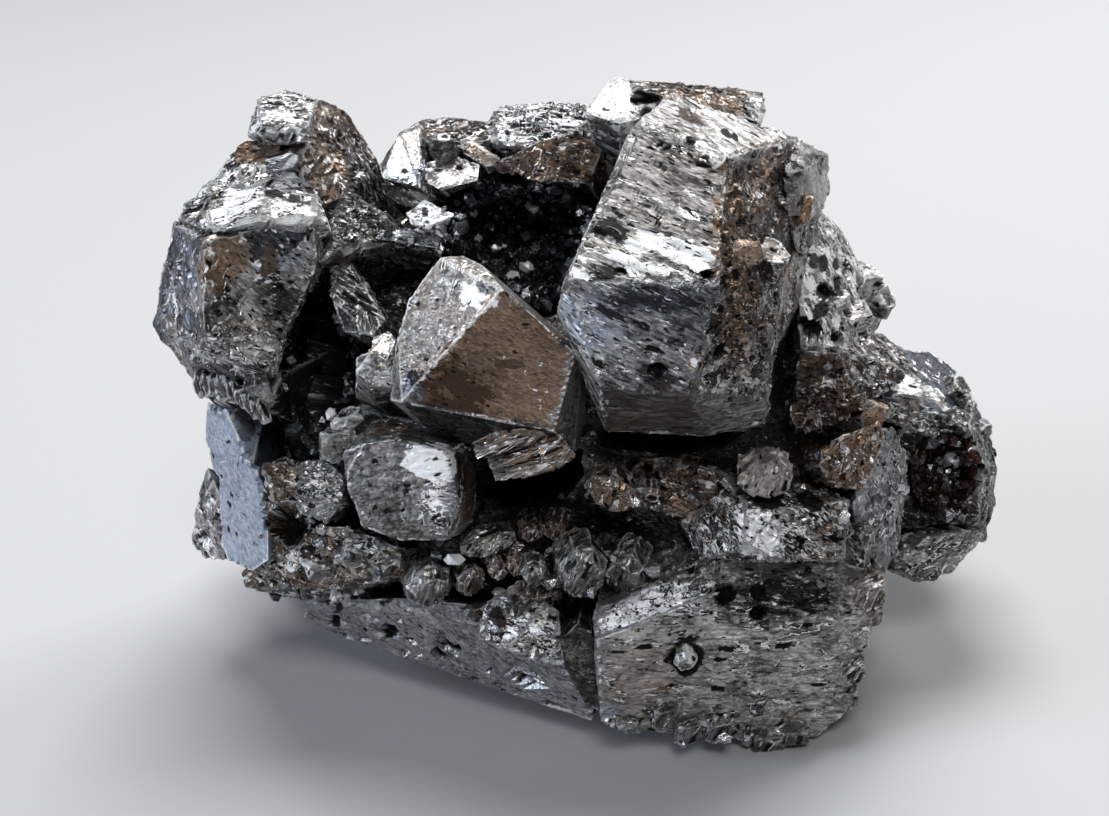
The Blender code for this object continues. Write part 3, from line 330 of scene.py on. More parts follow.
def grid_on_ball(size):
    """Directions for a square grid (s, t): rings of the square run from the pole at +Z over
    the ball to the pole at -Z, where the grid's whole border comes together."""
    s, t = np.meshgrid(np.linspace(-1, 1, size), np.linspace(-1, 1, size), indexing="ij")
    s, t = s.ravel(), t.ravel()
    ring = np.maximum(abs(s), abs(t))
    wide = abs(s) >= abs(t)
    with np.errstate(divide="ignore", invalid="ignore"):
        around = np.where(wide, math.pi / 4 * t / s, math.pi / 2 - math.pi / 4 * s / t)
    around = np.nan_to_num(around) + np.where(np.where(wide, s, t) < 0, math.pi, 0)
    down = math.pi * (0.76 * ring + 0.24 * raised(ring, 5))
    directions = np.stack([np.sin(down) * np.cos(around), np.sin(down) * np.sin(around), np.cos(down)], 1)
    number = np.arange(size * size).reshape(size, size)
    number[[0, -1], :] = 0
    number[:, [0, -1]] = 0
    a, b, c, d = number[:-1, :-1], number[1:, :-1], number[1:, 1:], number[:-1, 1:]
    return directions, whole(np.stack([a, b, c, a, c, d], -1).reshape(-1, 3))


def met_faces(directions, normals, heights, size):
    """The two faces that each ray from the crystal's inside meets first, and how far off they
    are. Rays that pass close to an edge are moved onto it, so that the edge stays sharp."""
    cell = 4.2 / size
    for _ in range(3):
        reach = directions @ normals.T
        reach = np.where(reach > 1e-3, heights / np.maximum(reach, 1e-3), 1e3)
        first, second = np.argsort(reach, axis=1)[:, :2].T
        edge = heights[first, None] * normals[second] - heights[second, None] * normals[first]
        edge /= np.linalg.norm(edge, axis=1)[:, None]
        off = (directions * edge).sum(1)
        directions = directions - np.where(abs(off) < 0.45 * cell, off, 0)[:, None] * edge
        directions /= np.linalg.norm(directions, axis=1)[:, None]
    rows = np.arange(len(directions))
    return directions, first, second, reach[rows, first], reach[rows, second]


def opened(centre, directions, near):
    """Rays that come out inside a hollow end on its wall, which is an ellipsoid with a rough
    surface: how far each ray now runs, and which ones ended so."""
    far = near.copy()
    cut_open = np.zeros(len(near), bool)
    for spot, radii, turn in HOLLOWS.values():
        spot, radii = np.array(spot), np.array(radii)
        if np.linalg.norm(spot - centre) > near.max() + radii.max():
            continue
        into = turn_matrix((*turn, 0)).T
        start = into @ (centre - spot) / radii
        step = directions @ into.T / radii
        wall = 0.85 + 0.3 * noise(directions * (1.6 * near.mean() / radii.mean()) + radii.sum(), 60)
        a = (step**2).sum(1)
        b = step @ start
        c = start @ start - wall**2
        inside = b * b - a * c
        root = np.sqrt(np.maximum(inside, 0))
        enter, leave = (-b - root) / a, (-b + root) / a
        open_here = (inside > 0) & (enter < far) & (leave > far) & (enter > 0.05)
        far = np.where(open_here, enter, far)
        cut_open |= open_here
    return far, cut_open


# Widths of the strips along a crystal's edges that carry painted white highlights, are chipped, and are
# eased
RIM_WIDTH = 0.2
CHIP_WIDTH = 0.5
EASED_WIDTH = 0.35
DEEP_INSIDE = 0.5    # the least distance from the middle of a crystal to its faces


def crystal(corners, roots=0, *, seed, size=70, middle=None, away=(0, -1, 0.3), stripes=(1, 0, -0.4),
            cut=True, looks=(), stains=(), **base):
    """One crystal as a closed surface over a square grid (s, t). Its last few corners are
    roots, hidden in the others. From a point inside it, each grid direction runs out to the
    nearest flat face. The face is then lowered by its relief: broad unevenness, growth steps
    across the stripes, etched pits stretched along them, chipped edges, and the hollows."""
    corners = np.array(corners, float)
    shown, hidden = (corners[:-roots], corners[-roots:]) if roots else (corners, corners.mean(0)[None])
    normals, heights = flat_faces(corners)
    centre = shown.mean(0) * 0.62 + hidden.mean(0) * 0.38 if middle is None else np.array(middle, float)
    for _ in range(80):
        worst = np.argmin(heights - normals @ centre)
        centre = centre - 0.03 * normals[worst] * (heights[worst] - normals[worst] @ centre < DEEP_INSIDE)
    heights = heights - normals @ centre
    outward = shown.mean(0) - hidden.mean(0) if roots else np.array(away, float)
    outward[2] += 0.2 * np.linalg.norm(outward)
    outward /= np.linalg.norm(outward)
    side = np.cross([0.13, 0.31, 1.0], outward)
    side /= np.linalg.norm(side)
    directions, triangles = grid_on_ball(size)
    directions = directions @ np.stack([side, np.cross(outward, side), outward])
    directions, first, second, near, next_near = met_faces(directions, normals, heights, size)

    # how far each point is from the edge of its face, and the look of that face
    bend = np.linalg.norm(np.cross(normals[first], normals[second]), axis=1)
    clear_edge = np.clip(3 * bend - 0.6, 0, 1)
    to_edge = (next_near - near) * 0.6 / np.clip(bend * 1.3, 0.2, 1)
    per_face = {key: np.full(len(normals), float(value)) for key, value in dict(PLAIN, **base).items()}
    for direction, least, changes in looks:
        for key, value in changes.items():
            per_face[key][normals @ direction > least] = value
    place = centre + directions * near[:, None]
    ragged = to_edge < 1.4 * (rough_noise(place * 1.3 + 5 * seed, 4, seed + 7) - 0.42)
    look = {key: value[np.where(ragged, second, first)] for key, value in per_face.items()}

    # where it lies on the face: u along the stripes, v across them, w out of the face
    n = normals[first]
    along = np.array(stripes, float) - (n @ np.array(stripes, float))[:, None] * n
    along /= np.linalg.norm(along, axis=1)[:, None] + 1e-9
    across = np.cross(n, along)
    u, v, w = (place * along).sum(1), (place * across).sum(1), (place * n).sum(1)
    grain = np.stack([u / look["stretch"], v, w], 1) + seed * 3.7

    # the relief, as how far the surface sinks
    broad = rough_noise(place * 0.45 + seed, 3, seed)
    fine = rough_noise(grain * 2.2, 3, seed + 9)
    sink = look["lumps"] * (broad * 1.3 + fine * 0.55 - 0.8)
    climb = (v + 1.1 * broad * look["step_size"] + 0.5 * noise(grain * 1.1, seed + 5)) / look["step_size"]
    climb = climb - np.floor(climb)
    sink += look["steps"] * (np.where(climb < 0.85, climb / 0.85, (1 - climb) / 0.15) - 0.5)
    wavy = place + 0.5 * (fine - NOISE_MIDDLE)[:, None]
    _, block_edge, block_own, lean = cells(wavy / look["block_size"][:, None] + seed, seed + 60)
    sink += look["blocks"] * (block_own + 1.6 * lean - 0.5)
    pit_far, _, pit_own, _ = cells(grain / look["pit_size"][:, None], seed + 20)
    share = look["pit_share"] + 1e-6
    pit = np.where(pit_own < share, np.clip((0.2 + 0.2 * pit_own / share - pit_far) * 7, 0, 1), 0)
    small_far, _, small_own, _ = cells(grain * 2.6 / look["pit_size"][:, None], seed + 40)
    dot = np.where(small_own < share * 0.7, np.clip((0.3 - small_far) * 6, 0, 1), 0)
    sink += look["pits"] * (pit * 1.5 + dot * 0.6)
    chip = np.clip(1 - to_edge / CHIP_WIDTH, 0, 1)
    chip = chip * np.clip(rough_noise(place * 1.9, 3, seed + 3) * 3 - 1.3, 0, 1)
    sink += look["chips"] * chip * clear_edge
    # white edges, and the edges of the small blocks: painted edge highlights
    rim = np.clip(1 - to_edge / RIM_WIDTH, 0, 1) * clear_edge
    rim = np.maximum(rim, (look["blocks"] > 0) * np.clip(1 - block_edge * look["block_size"] / 0.15, 0, 1))

    # the surface, eased over the edges and never below the table top
    far, cut_open = opened(centre, directions, near) if cut else (near, np.zeros(len(near), bool))
    share = 0.5 * np.clip(1 - to_edge / EASED_WIDTH, 0, 1)[:, None]
    inward = n * (1 - share) + normals[second] * share
    sink = np.where(cut_open, 0, np.minimum(sink, 0.4 * near))
    place = centre + directions * far[:, None] - inward * sink[:, None]
    place[:, 2] = np.maximum(place[:, 2], 0.0)

    # the looks at each point, with the stains; the walls of the hollows and the pits are painted black, as
    # their shade
    painted = {key: look[key].copy() for key in PAINTED}
    painted["pit"] = np.where(cut_open, 1.0, pit) + 0.6 * dot * (look["pits"] > 0)
    painted["tone"] += look["mosaic"] * (block_own - 0.5)
    painted["brown"] += look["mosaic"] * np.clip(block_own * 7.3 % 1 * 4 - 3, 0, 1)
    painted["polish"] += 0.7 * look["mosaic"] * (block_own * 3.7 % 1 - 0.5)
    for spot, radius, changes in stains:
        off = np.linalg.norm((place - spot) / radius, axis=1)
        share = np.clip(1.5 - off - 0.9 * (fine - NOISE_MIDDLE), 0, 1)
        share = share * share * (3 - 2 * share)
        for key, change in changes.items():
            painted[key] += share * change
    painted["pit"] = np.clip(painted["pit"], 0, 1)
    return {"place": place, "triangles": triangles, "rim": rim * look["rims"], "grain": grain, **painted}


def joined(name, parts, finish, node, sharp=38):
    """Puts the surfaces of a group of crystals into one mesh with their attributes. Edges that
    bend by more than sharp degrees stay sharp."""
    starts = np.cumsum([0] + [len(part["place"]) for part in parts])
    triangles = np.concatenate([part["triangles"] + start for part, start in zip(parts, starts)])
    used, triangles = np.unique(triangles, return_inverse=True)
    triangles = triangles.reshape(-1, 3)
    mesh = bpy.data.meshes.new(name)
    mesh.vertices.add(len(used))
    mesh.vertices.foreach_set("co", (np.concatenate([p["place"] for p in parts])[used] * MM).ravel())
    mesh.loops.add(triangles.size)
    mesh.loops.foreach_set("vertex_index", triangles.ravel())
    mesh.polygons.add(len(triangles))
    mesh.polygons.foreach_set("loop_start", np.arange(0, triangles.size, 3))
    mesh.update(calc_edges=True)
    for key in (*PAINTED, "rim", "pit"):
        values = np.concatenate([part[key] for part in parts])[used].astype(np.float32)
        mesh.attributes.new(key, "FLOAT", "POINT").data.foreach_set("value", values)
    grain = np.concatenate([part["grain"] for part in parts])[used].astype(np.float32)
    mesh.attributes.new("grain", "FLOAT_VECTOR", "POINT").data.foreach_set("vector", grain.ravel())
    mesh.shade_smooth()
    mesh.set_sharp_from_angle(angle=math.radians(sharp))
    mesh.validate()
    mesh.materials.append(finish)
    piece = bpy.data.objects.new(name, mesh)
    bpy.context.scene.collection.objects.link(piece)
    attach(piece, "root")
    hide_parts(node)


class Wire:
    """A node's output that takes part in sums: each operation adds a Math node."""

    def __init__(self, finish, socket):
        self.finish, self.socket = finish, socket

    def sum_of(self, operation, first, second):
        return self.finish.node("ShaderNodeMath", {"operation": operation}, {0: first, 1: second})

    def __add__(self, other):
        return self.sum_of("ADD", self, other)

    def __sub__(self, other):
        return self.sum_of("SUBTRACT", self, other)

    def __rsub__(self, other):
        return self.sum_of("SUBTRACT", other, self)

    def __mul__(self, other):
        return self.sum_of("MULTIPLY", self, other)

    def or_more(self, other):
        """The larger of the two."""
        return self.sum_of("MAXIMUM", self, other)

    def clamped(self, low, high):
        """0 below low, 1 above high, and eased between."""
        return self.finish.node("ShaderNodeMapRange", {"interpolation_type": "SMOOTHSTEP"},
                                {0: self, 1: low, 2: high, 3: 0.0, 4: 1.0})


class Finish:
    """A material that is written as expressions."""

    def __init__(self, name):
        self.material = bpy.data.materials.new(name)
        self.material.use_nodes = True
        self.tree = self.material.node_tree
        self.shader = self.tree.nodes["Principled BSDF"]

    def put(self, socket, value):
        if isinstance(value, Wire):
            self.tree.links.new(value.socket, socket)
        else:
            socket.default_value = value

    def node(self, kind, settings=None, sockets=None, output=0):
        """Adds a node: its settings first, then its sockets' values or links."""
        made = self.tree.nodes.new(kind)
        for key, value in (settings or {}).items():
            setattr(made, key, value)
        for key, value in (sockets or {}).items():
            self.put(made.inputs[key], value)
        return Wire(self, made.outputs[output])

    def attribute(self, name, output="Fac"):
        return self.node("ShaderNodeAttribute", {"attribute_name": name}, output=output)

    def cloud(self, vector, scale, detail, roughness=0.5, output=0):
        """Noise with detail octaves."""
        return self.node("ShaderNodeTexNoise", None, {
            "Vector": vector, "Scale": scale, "Detail": detail, "Roughness": roughness}, output)

    def angular(self, vector, scale, output, feature="F1"):
        """Box-shaped cells: how far each cell's point is, or the cell's random colour."""
        return self.node("ShaderNodeTexVoronoi", {"distance": "CHEBYCHEV", "feature": feature},
                         {"Vector": vector, "Scale": scale}, output)

    def cells(self, vector, scale):
        """The distance from each cell's point, and the cell's random number."""
        far = self.angular(vector, scale, "Distance")
        return far, self.node("ShaderNodeSeparateColor", None, {0: self.angular(vector, scale, "Color")})

    def mixed(self, share, first, second):
        """One colour to another by share."""
        return self.node("ShaderNodeMix", {"data_type": "RGBA"}, {0: share, 6: first, 7: second}, 2)

    def vector(self, operation, sockets):
        return self.node("ShaderNodeVectorMath", {"operation": operation}, sockets)


def metal_finish(name, dark, bright, brown):
    """Grey metallic crystal. Its growth steps are the contour lines of a noise, with a painted
    highlight above and painted shadow below. Fine streaks and angular pits run along the faces'
    own grain. Patches of it carry painted white highlights, others are dark, as dark metal and
    painted shade. A brown film lies where it is marked."""
    f = Finish(name)
    spot = f.vector("SCALE", {0: f.node("ShaderNodeTexCoord", output="Object"), "Scale": 1 / MM})
    grain = f.attribute("grain", "Vector")
    tone, film, blue, polish, glow, lines, facets, etch, rubble, shade, rim, pit = [
        f.attribute(key) for key in (*PAINTED, "rim", "pit")]

    # the grain, bent by a noise, and three noises at their own scales
    warp = f.cloud(grain, 1.5, 3.0, output="Color")
    bent = f.vector("MULTIPLY_ADD", {0: warp, 1: (0.55, 0.55, 0.55), 2: grain})
    cloudy = f.cloud(spot, 0.5, 5.0, 0.6)
    patchy = f.cloud(spot, 1.1, 6.0, 0.6)
    streak = f.cloud(bent, 2.4, 6.0, 0.7)

    # growth steps, then pits and dots, then the tiny blocks and the joints between them
    climb = f.node("ShaderNodeMath", {"operation": "FRACT"}, {0: f.cloud(bent, 0.65, 5.0, 0.55) * 8.0})
    # growth steps: a thin painted highlight above each step (upper) and painted shadow below it (under)
    stepped = (patchy * 1.6 + lines - 1.3).clamped(-0.05, 0.05)
    upper = (streak * 0.5 - 0.1 - climb).clamped(-0.02, 0.03) * stepped
    under = climb.clamped(0.8, 0.94) * stepped
    dent_far, dent_own = f.cells(bent, 1.5)
    dent = (dent_own * 0.75 + patchy * 0.7 - 0.9 - dent_far).clamped(-0.015, 0.02)
    fine_far, fine_own = f.cells(bent, 5.5)
    fine = (fine_own * 0.6 - 0.25 - fine_far).clamped(-0.04, 0.06)
    speck_far, speck_own = f.cells(grain, 8.0)
    block_far, block_own = f.cells(bent, 2.0)
    block_turn = f.angular(bent, 2.0, "Color")
    block_next = f.angular(bent, 2.0, "Distance", "F2")
    crumbled = (patchy * 0.8 + rubble - 0.85).clamped(-0.04, 0.06)
    joint = (1 - (block_next - block_far).clamped(0.02, 0.09)) * crumbled
    crack = joint * streak.clamped(0.46, 0.54)

    # the shares that are black (dark joints, and painted shade in pits, hollows and under the steps), dark
    # (dark metal and painted shade) and white (painted highlights)
    black = (dent * etch * 1.4 + fine * etch + crack * 0.9 + pit * 0.9 + under * 0.5).clamped(0.25, 0.65)
    glint_patches = (glow - (f.cloud(bent, 0.9, 8.0, 0.65) * 2.2 - 0.6)).clamped(-0.02, 0.03)
    # dark patches: dark metal, and painted shade of deep recesses
    dark_and_shade = (shade - (f.cloud(bent, 1.37, 8.0, 0.68) * 2.2 - 0.6)).clamped(-0.02, 0.03)
    # white along the edges: painted edge highlights
    edge = (rim + (streak - 0.5) * 1.4).clamped(0.42, 0.52)
    white = glint_patches.or_more(edge * 0.8)
    white = white.or_more(upper * 0.85)
    # sparkles on the tiny blocks: painted glints
    spark = (joint - crack * 1.2 + (speck_own - 0.75) * 0.9 - 0.8).clamped(0.0, 0.1)
    white = white.or_more(spark * 0.9)

    # the metal's brightness, and over it the tarnish, the film, the painted white highlights, the dark
    # patches of dark metal and painted shade, and the black
    light = tone + (block_own - 0.5) * 0.7 * crumbled + (streak.clamped(0.4, 0.6) - 0.5) * 0.2
    light = light + (cloudy - 0.5) * 0.5 + (speck_own - 0.5) * 0.35
    # grains painted lighter in their middles and darker at their borders as their shading, and darker under
    # the growth steps as painted shadow
    light = light + (0.3 - speck_far) * 0.4 * etch - under * 0.3
    light = (light - dark_and_shade * 0.45).clamped(0.0, 1.0)
    steel = f.mixed(light, (*dark, 1), (*bright, 1))
    steel = f.mixed(blue, steel, f.mixed(light, (0.05, 0.06, 0.085, 1), (0.48, 0.56, 0.70, 1)))
    filmed = f.mixed((film + (cloudy - 0.5) * 1.2 * film).clamped(0.1, 0.9), steel, f.mixed(
        light, (brown[0] * 0.3, brown[1] * 0.3, brown[2] * 0.3, 1), (*brown, 1)))
    filmed = f.mixed(white, filmed, (0.90, 0.91, 0.93, 1))
    filmed = f.mixed(dark_and_shade * 0.75, filmed, f.mixed(film, (0.016, 0.016, 0.018, 1), (0.05, 0.03, 0.018, 1)))
    f.put(f.shader.inputs["Base Color"], f.mixed(black, filmed, (0.012, 0.011, 0.011, 1)))
    f.put(f.shader.inputs["Metallic"], 0.9 - white * 0.6)
    rough = 0.5 - polish * 0.4 + (streak - 0.5) * 0.3 + black * 0.3
    f.put(f.shader.inputs["Roughness"], f.node("ShaderNodeClamp", None, {0: rough, 1: 0.1, 2: 0.9}))

    # fine relief as bump, and grains and tiny blocks that are tilted against each other
    relief = (streak * 0.7 - dent * 1.5 - fine * 0.5) * etch - crack * 0.8
    relief = relief + climb * 0.5 * stepped + streak * 0.25
    tilt = f.node("ShaderNodeBump", None, {
        "Height": relief - speck_far * 0.2, "Strength": 0.8, "Distance": 0.12 * MM})
    grains = f.node("ShaderNodeTexVoronoi", None, {"Vector": grain, "Scale": 8.0}, "Color")
    for turn, share in ((grains, facets), (block_turn, crumbled * 0.55)):
        turn = f.vector("SUBTRACT", {0: turn, 1: (0.5, 0.5, 0.5)})
        tilt = f.vector("ADD", {0: tilt, 1: f.vector("SCALE", {0: turn, "Scale": share})})
    f.put(f.shader.inputs["Normal"], f.vector("NORMALIZE", {0: tilt}))
    return f.material


hematite = metal_finish("hematite", (0.037, 0.035, 0.034), (0.63, 0.62, 0.612), (0.38, 0.265, 0.185))


def grown(name, crystals, sharp=38):
    """A group of crystals of the cluster itself, as one piece."""
    joined(name, crystals, hematite, "hematite_cluster", sharp)


grown("core_mass", [
    # the mass inside
    crystal(
        [(-20.5, -1, 7), (-16, -6.5, 7), (-20.5, -1.5, 18), (-16.5, -5, 19), (-14, 0, 26),
         (-7, 0, 26), (2, -3, 28), (9.5, -4, 28), (15.5, -3.5, 20), (18, -2.5, 9), (14, -7.5, 4),
         (-8, -7, 5), (-7, -8.5, 18), (4, -9, 19), (13, -7, 12), (-15, 13, 5), (14, 13, 5),
         (-13, 12, 17), (12, 11, 20), (-8, 9, 26), (8, 8, 27), (18, 7, 9), (-19, 7, 14)], 8,
        seed=2, size=90, middle=(0, 2, 13), tone=0.12, pits=0.2, pit_size=1, lumps=0.3),
    # the floor of the pit, near black: dark metal and painted shade
    crystal(
        [(-9, -7, 5), (8, -8, 4), (9, -7, 10), (-8, -7, 10), (-9, -2, 4), (9, -2, 4), (9, -2, 10),
         (-8, -2, 10)], 4,
        seed=3, size=36, tone=0.06, pits=0.25, lumps=0.3),
    # the foot, on which the specimen stands, painted darker as the shade of the gap in front of it
    crystal(
        [(-17, 0, -1), (-14, 10, -1), (0, 13, -1), (13, 11, -1), (14, -4, -1), (1, -8, -1),
         (-17, 2, 6), (-14, 12, 7), (0, 14, 7), (14, 13, 7), (15, -4, 7), (1, -8, 5)], 6,
        seed=4, size=64, middle=(0, 3, 3), tone=0.24, rims=0, shade=0.25, pits=0.2, lumps=0.3),
])

# The upper left peak and the stepped ledges under it.
# A blocky hematite crystal that grew upwards and was etched on top, with broken ledges of the
# same metal that step down at its left.
ledge = {"polish": 0.5, "glow": 0.5, "etch": 0.85, "shade": 0.3, "mosaic": 0.5, "step_size": 1}
grown("left_peak", [
    # a dark brown crystal under the cap's left side
    crystal(
        [(-20.3, -2.1, 32.8), (-19.5, -1.7, 33.3), (-17.4, -2.6, 33.5), (-17, -3.7, 32.7),
         (-18.3, -3.9, 32.3), (-20, -3.2, 32.3), (-18, 3, 27)], 1,
        seed=11, size=48, tone=0.15, brown=0.7, rims=0.3, shade=0.4, mosaic=0.4, pits=0.12, lumps=0.06),
    # the cap
    crystal(
        [(-19.1, 0.5, 35.1), (-17.7, 2, 35.2), (-15.7, 1, 34.9), (-18.3, -3.6, 34.4),
         (-15.9, -3, 34.3), (-19.6, -1.5, 33.4), (-18.5, -2.5, 33.2), (-16, -3.5, 33.6),
         (-18, 4, 30), (-15, 5, 31)], 2,
        seed=5, size=76, tone=0.4, polish=0.5, glow=0.42, lines=0.6, etch=0.8, rubble=0.15, shade=0.38,
        mosaic=0.35, pit_size=0.6, blocks=0.06, block_size=0.8, lumps=0.05,
        looks=[face(15, 33, 25, blue=0.6, glow=0.3, shade=0.3)]),
    # the brown slope behind it
    crystal(
        [(-15.7, 1, 34.9), (-14.3, 2, 34), (-13.9, 2, 32.6), (-12.5, 2, 30.6), (-13.6, -2.5, 30.6),
         (-14.4, -4.4, 30.3), (-15.9, -6, 30.8), (-16.2, -3.2, 33.5), (-18.7, -1.5, 32.5),
         (-20.2, -1.5, 31.4), (-18, 5, 27), (-11, 6, 26), (-19, 4, 22)], 3,
        seed=6, size=78, tone=0.1, brown=0.5, glow=0.05, lines=0.5, shade=0.6, mosaic=0.35, pits=0.1,
        steps=0.08, step_size=0.5, blocks=0.12, block_size=0.9, lumps=0.06,
        stains=[patch((-13.2, 0.2, 31.3), (1, 1.6, 2), tone=0.15, brown=-0.6, shade=-0.5),
                patch((-14.4, -1.9, 31.9), (0.3, 1, 1.2), tone=0.35, brown=0.5, shade=-0.5),
                patch((-15, -3.6, 30.9), (0.6, 1, 0.4), tone=0.1, brown=0.6),
                # the recess under the cap's left side: brown film, and painted shade
                patch((-18.9, -2, 32.5), (1.2, 1.5, 0.8), tone=-0.2, brown=0.3, shade=0.2)]),
    # a striated bluish crystal under the cap
    crystal(
        [(-18.4, -3.5, 32.7), (-17.7, -3.2, 33.1), (-16.4, -4, 33.4), (-16.2, -4.5, 32.5),
         (-17.3, -5, 32.3), (-18.3, -4.5, 32.3), (-16, 2, 26)], 1,
        seed=7, size=40, tone=0.4, blue=0.6, polish=0.6, glow=0.2, lines=0.8, rubble=0.05, mosaic=0.1,
        stretch=5, steps=0.06, step_size=0.35, lumps=0.05),
    # the upper ledge
    crystal(
        [(-19.8, -1.5, 33.1), (-18.4, -4, 32.4), (-16.2, -5, 32.2), (-15.5, -5, 31.6),
         (-20.8, -1.5, 32), (-21.9, -2.5, 30.9), (-19.5, -5.2, 31.6), (-19, 4, 26), (-13, 4, 23),
         (-21, 3, 23)], 3,
        seed=8, tone=0.4, lines=0.9, rubble=0.5, pits=0.1, steps=0.12, blocks=0.1, **ledge,
        # the recess under the cap's left side: brown film, and painted shade
        stains=[patch((-19, -2.3, 32.9), (1.1, 1.4, 0.6), tone=-0.3, brown=0.7, glow=-0.9, shade=0.3)]),
    # the lower, broader ledge
    crystal(
        [(-21.8, -2.5, 31.1), (-18.2, -5.5, 31.8), (-15.3, -5.5, 31.4), (-14.7, -8, 30.8),
         (-23.3, -4.3, 29.5), (-22.7, -3.2, 30.2), (-20.4, -9.3, 30.5), (-17.7, -9.6, 31.2),
         (-15.8, -9, 30.6), (-22, 4, 21), (-13, 4, 21)], 2,
        seed=9, size=92, tone=0.42, lines=0.7, rubble=0.6, pits=0.12, pit_size=0.8, steps=0.15,
        blocks=0.14, block_size=1.3, **ledge,
        # two dark holes in the ledge, painted black as their shade
        stains=[patch((-17.5, -6.2, 31.6), (0.5, 0.6, 0.4), pit=1.5),
                patch((-16.4, -6.5, 31.5), (0.35, 0.5, 0.3), pit=1.5),
                patch((-22, -4.8, 30.3), (1.6, 1.6, 0.7), tone=0.1, glow=-0.35, shade=-0.1)]),
], sharp=20)

# The left block, with the short prisms that hang under it.
# One large blocky crystal with a clean bluish face at its left and etched pits on the others.
# A comb of thin prisms grew downwards from its lower edge.
tooth = {"tone": 0.2, "rims": 1, "steps": 0.12, "step_size": 0.35, "lumps": 0.03}
left_block = [
    # the dark rock behind the comb
    crystal(
        [(-22.9, -6, 21.6), (-25.2, -2.8, 22.7), (-22.7, -5, 19.4), (-21.8, -5.8, 19.2),
         (-18.2, -8.8, 19.6), (-17.4, -8.2, 21.7), (-23, 4, 20), (-24, 5, 14), (-16, 4, 12),
         (-14, 4, 19)], 4,
        seed=89, size=50, middle=(-19.5, 0, 17.5), away=(0, -1, 0), cut=False, tone=0.08, shade=0.4,
        pits=0.2),
    # the block itself
    crystal(
        [(-23.6, -4, 29.2), (-25.5, -2.8, 22.7), (-24.9, -4, 22.1), (-22.9, -6.5, 21.6),
         (-19.4, -8.5, 21.6), (-17.6, -8.2, 21.7), (-17.2, -9.4, 24), (-21.1, -10.5, 24.9),
         (-20.8, -10, 30.3), (-17.8, -9.1, 30.6), (-15, -8.3, 30.5), (-15, -8.5, 28.3),
         (-21.3, -7, 21.3), (-23, 4, 20), (-24, 5, 14), (-16, 4, 12), (-14, 4, 19)], 4,
        seed=12, size=142, middle=(-20, -5.5, 25.5), stripes=(1, -0.3, -0.75), tone=0.34, glow=0.06,
        lines=0.25, etch=0.75, rubble=0.35, shade=0.12, mosaic=0.6, chips=0.35, pits=0.1,
        pit_size=0.34, stretch=2.2, steps=0.1, step_size=0.7, blocks=0.2, block_size=1.5, lumps=0.06,
        looks=[face(-66, 8, 22, tone=0.3, blue=0.6, glow=0.15, lines=0.2, rubble=0.1, shade=0.15,
                    pits=0.12, pit_size=0.7, pit_share=0.2, stretch=1.5),
               face(9, -27, 20, tone=0.45, glow=0.12, lines=0.9, rubble=0.1, pits=0.08, stretch=4)],
        stains=[patch((-20, -9.9, 29.2), (1.3, 2, 1.3), tone=0.05, brown=0.8, rubble=-0.4, shade=-0.2),
                patch((-23.7, -5.7, 24.3), 1.6, brown=0.3, blue=-0.3, glow=0.3, rubble=0.5),
                patch((-16.9, -8.9, 29.5), 1.3, blue=0.5, rubble=-0.3, shade=-0.3),
                # darker by the hollow's edge: painted shade
                patch((-17.6, -9, 26.8), (1, 1.5, 1.2), tone=-0.35, glow=-0.3),
                patch((-19.9, -9.8, 24), (3, 2, 1.5), tone=0.05, lines=0.4, rubble=-0.3),
                patch((-15.6, -8.4, 30.2), 0.8, glow=0.3)]),
    # two stepped teeth at the comb's left end
    crystal(
        [(-23, -5.5, 21), (-23.3, -5, 20.5), (-22.9, -5.2, 19.4), (-22.2, -6, 19.3),
         (-21.7, -6.3, 21.1), (-19, 1, 12)], 1,
        seed=13, size=36, stripes=(0.3, 0, 1), shade=0.2, **tooth),
    crystal(
        [(-21.3, -6.6, 21), (-20.5, -7.5, 21.4), (-19.7, -8.2, 21.5), (-20.3, -8, 20.6),
         (-21.8, -6, 19), (-21.1, -7, 19.6), (-17, 1, 12)], 1,
        seed=14, size=36, stripes=(0.3, 0, 1), shade=0.25, **tooth),
    # the rounded crystal at its right end
    crystal(
        [(-19.6, -8.5, 20.9), (-18.7, -9.5, 21.7), (-17.9, -9.5, 21.6), (-17.6, -9.5, 20.8),
         (-18.2, -9, 19.6), (-19.2, -8.5, 19.2), (-19.8, -8, 19.6), (-19.8, -4, 24)], 1,
        seed=15, size=54, middle=(-18.8, -7.9, 20.7), cut=False, tone=0.35, lines=0.3, rims=0.45),
]
COMB = 8
for index in range(COMB):
    along = index / (COMB - 1)
    left_block.append(crystal(
        habit((-22.4 + 3.8 * along, -6.1 - 2.9 * along, 20.2 + 0.4 * math.sin(4 * along)),
              (0.36 + 0.08 * (index % 2), 0.3, 0.95 - 0.15 * (index % 3)), (12, 14 - 5 * index, -38), 0.8),
        seed=170 + index, size=18, stripes=(0, 0, 1), cut=False, tone=0.16, shade=0.35, mosaic=0.1, pits=0,
        stretch=4, lumps=0.02))
grown("left_block", left_block)

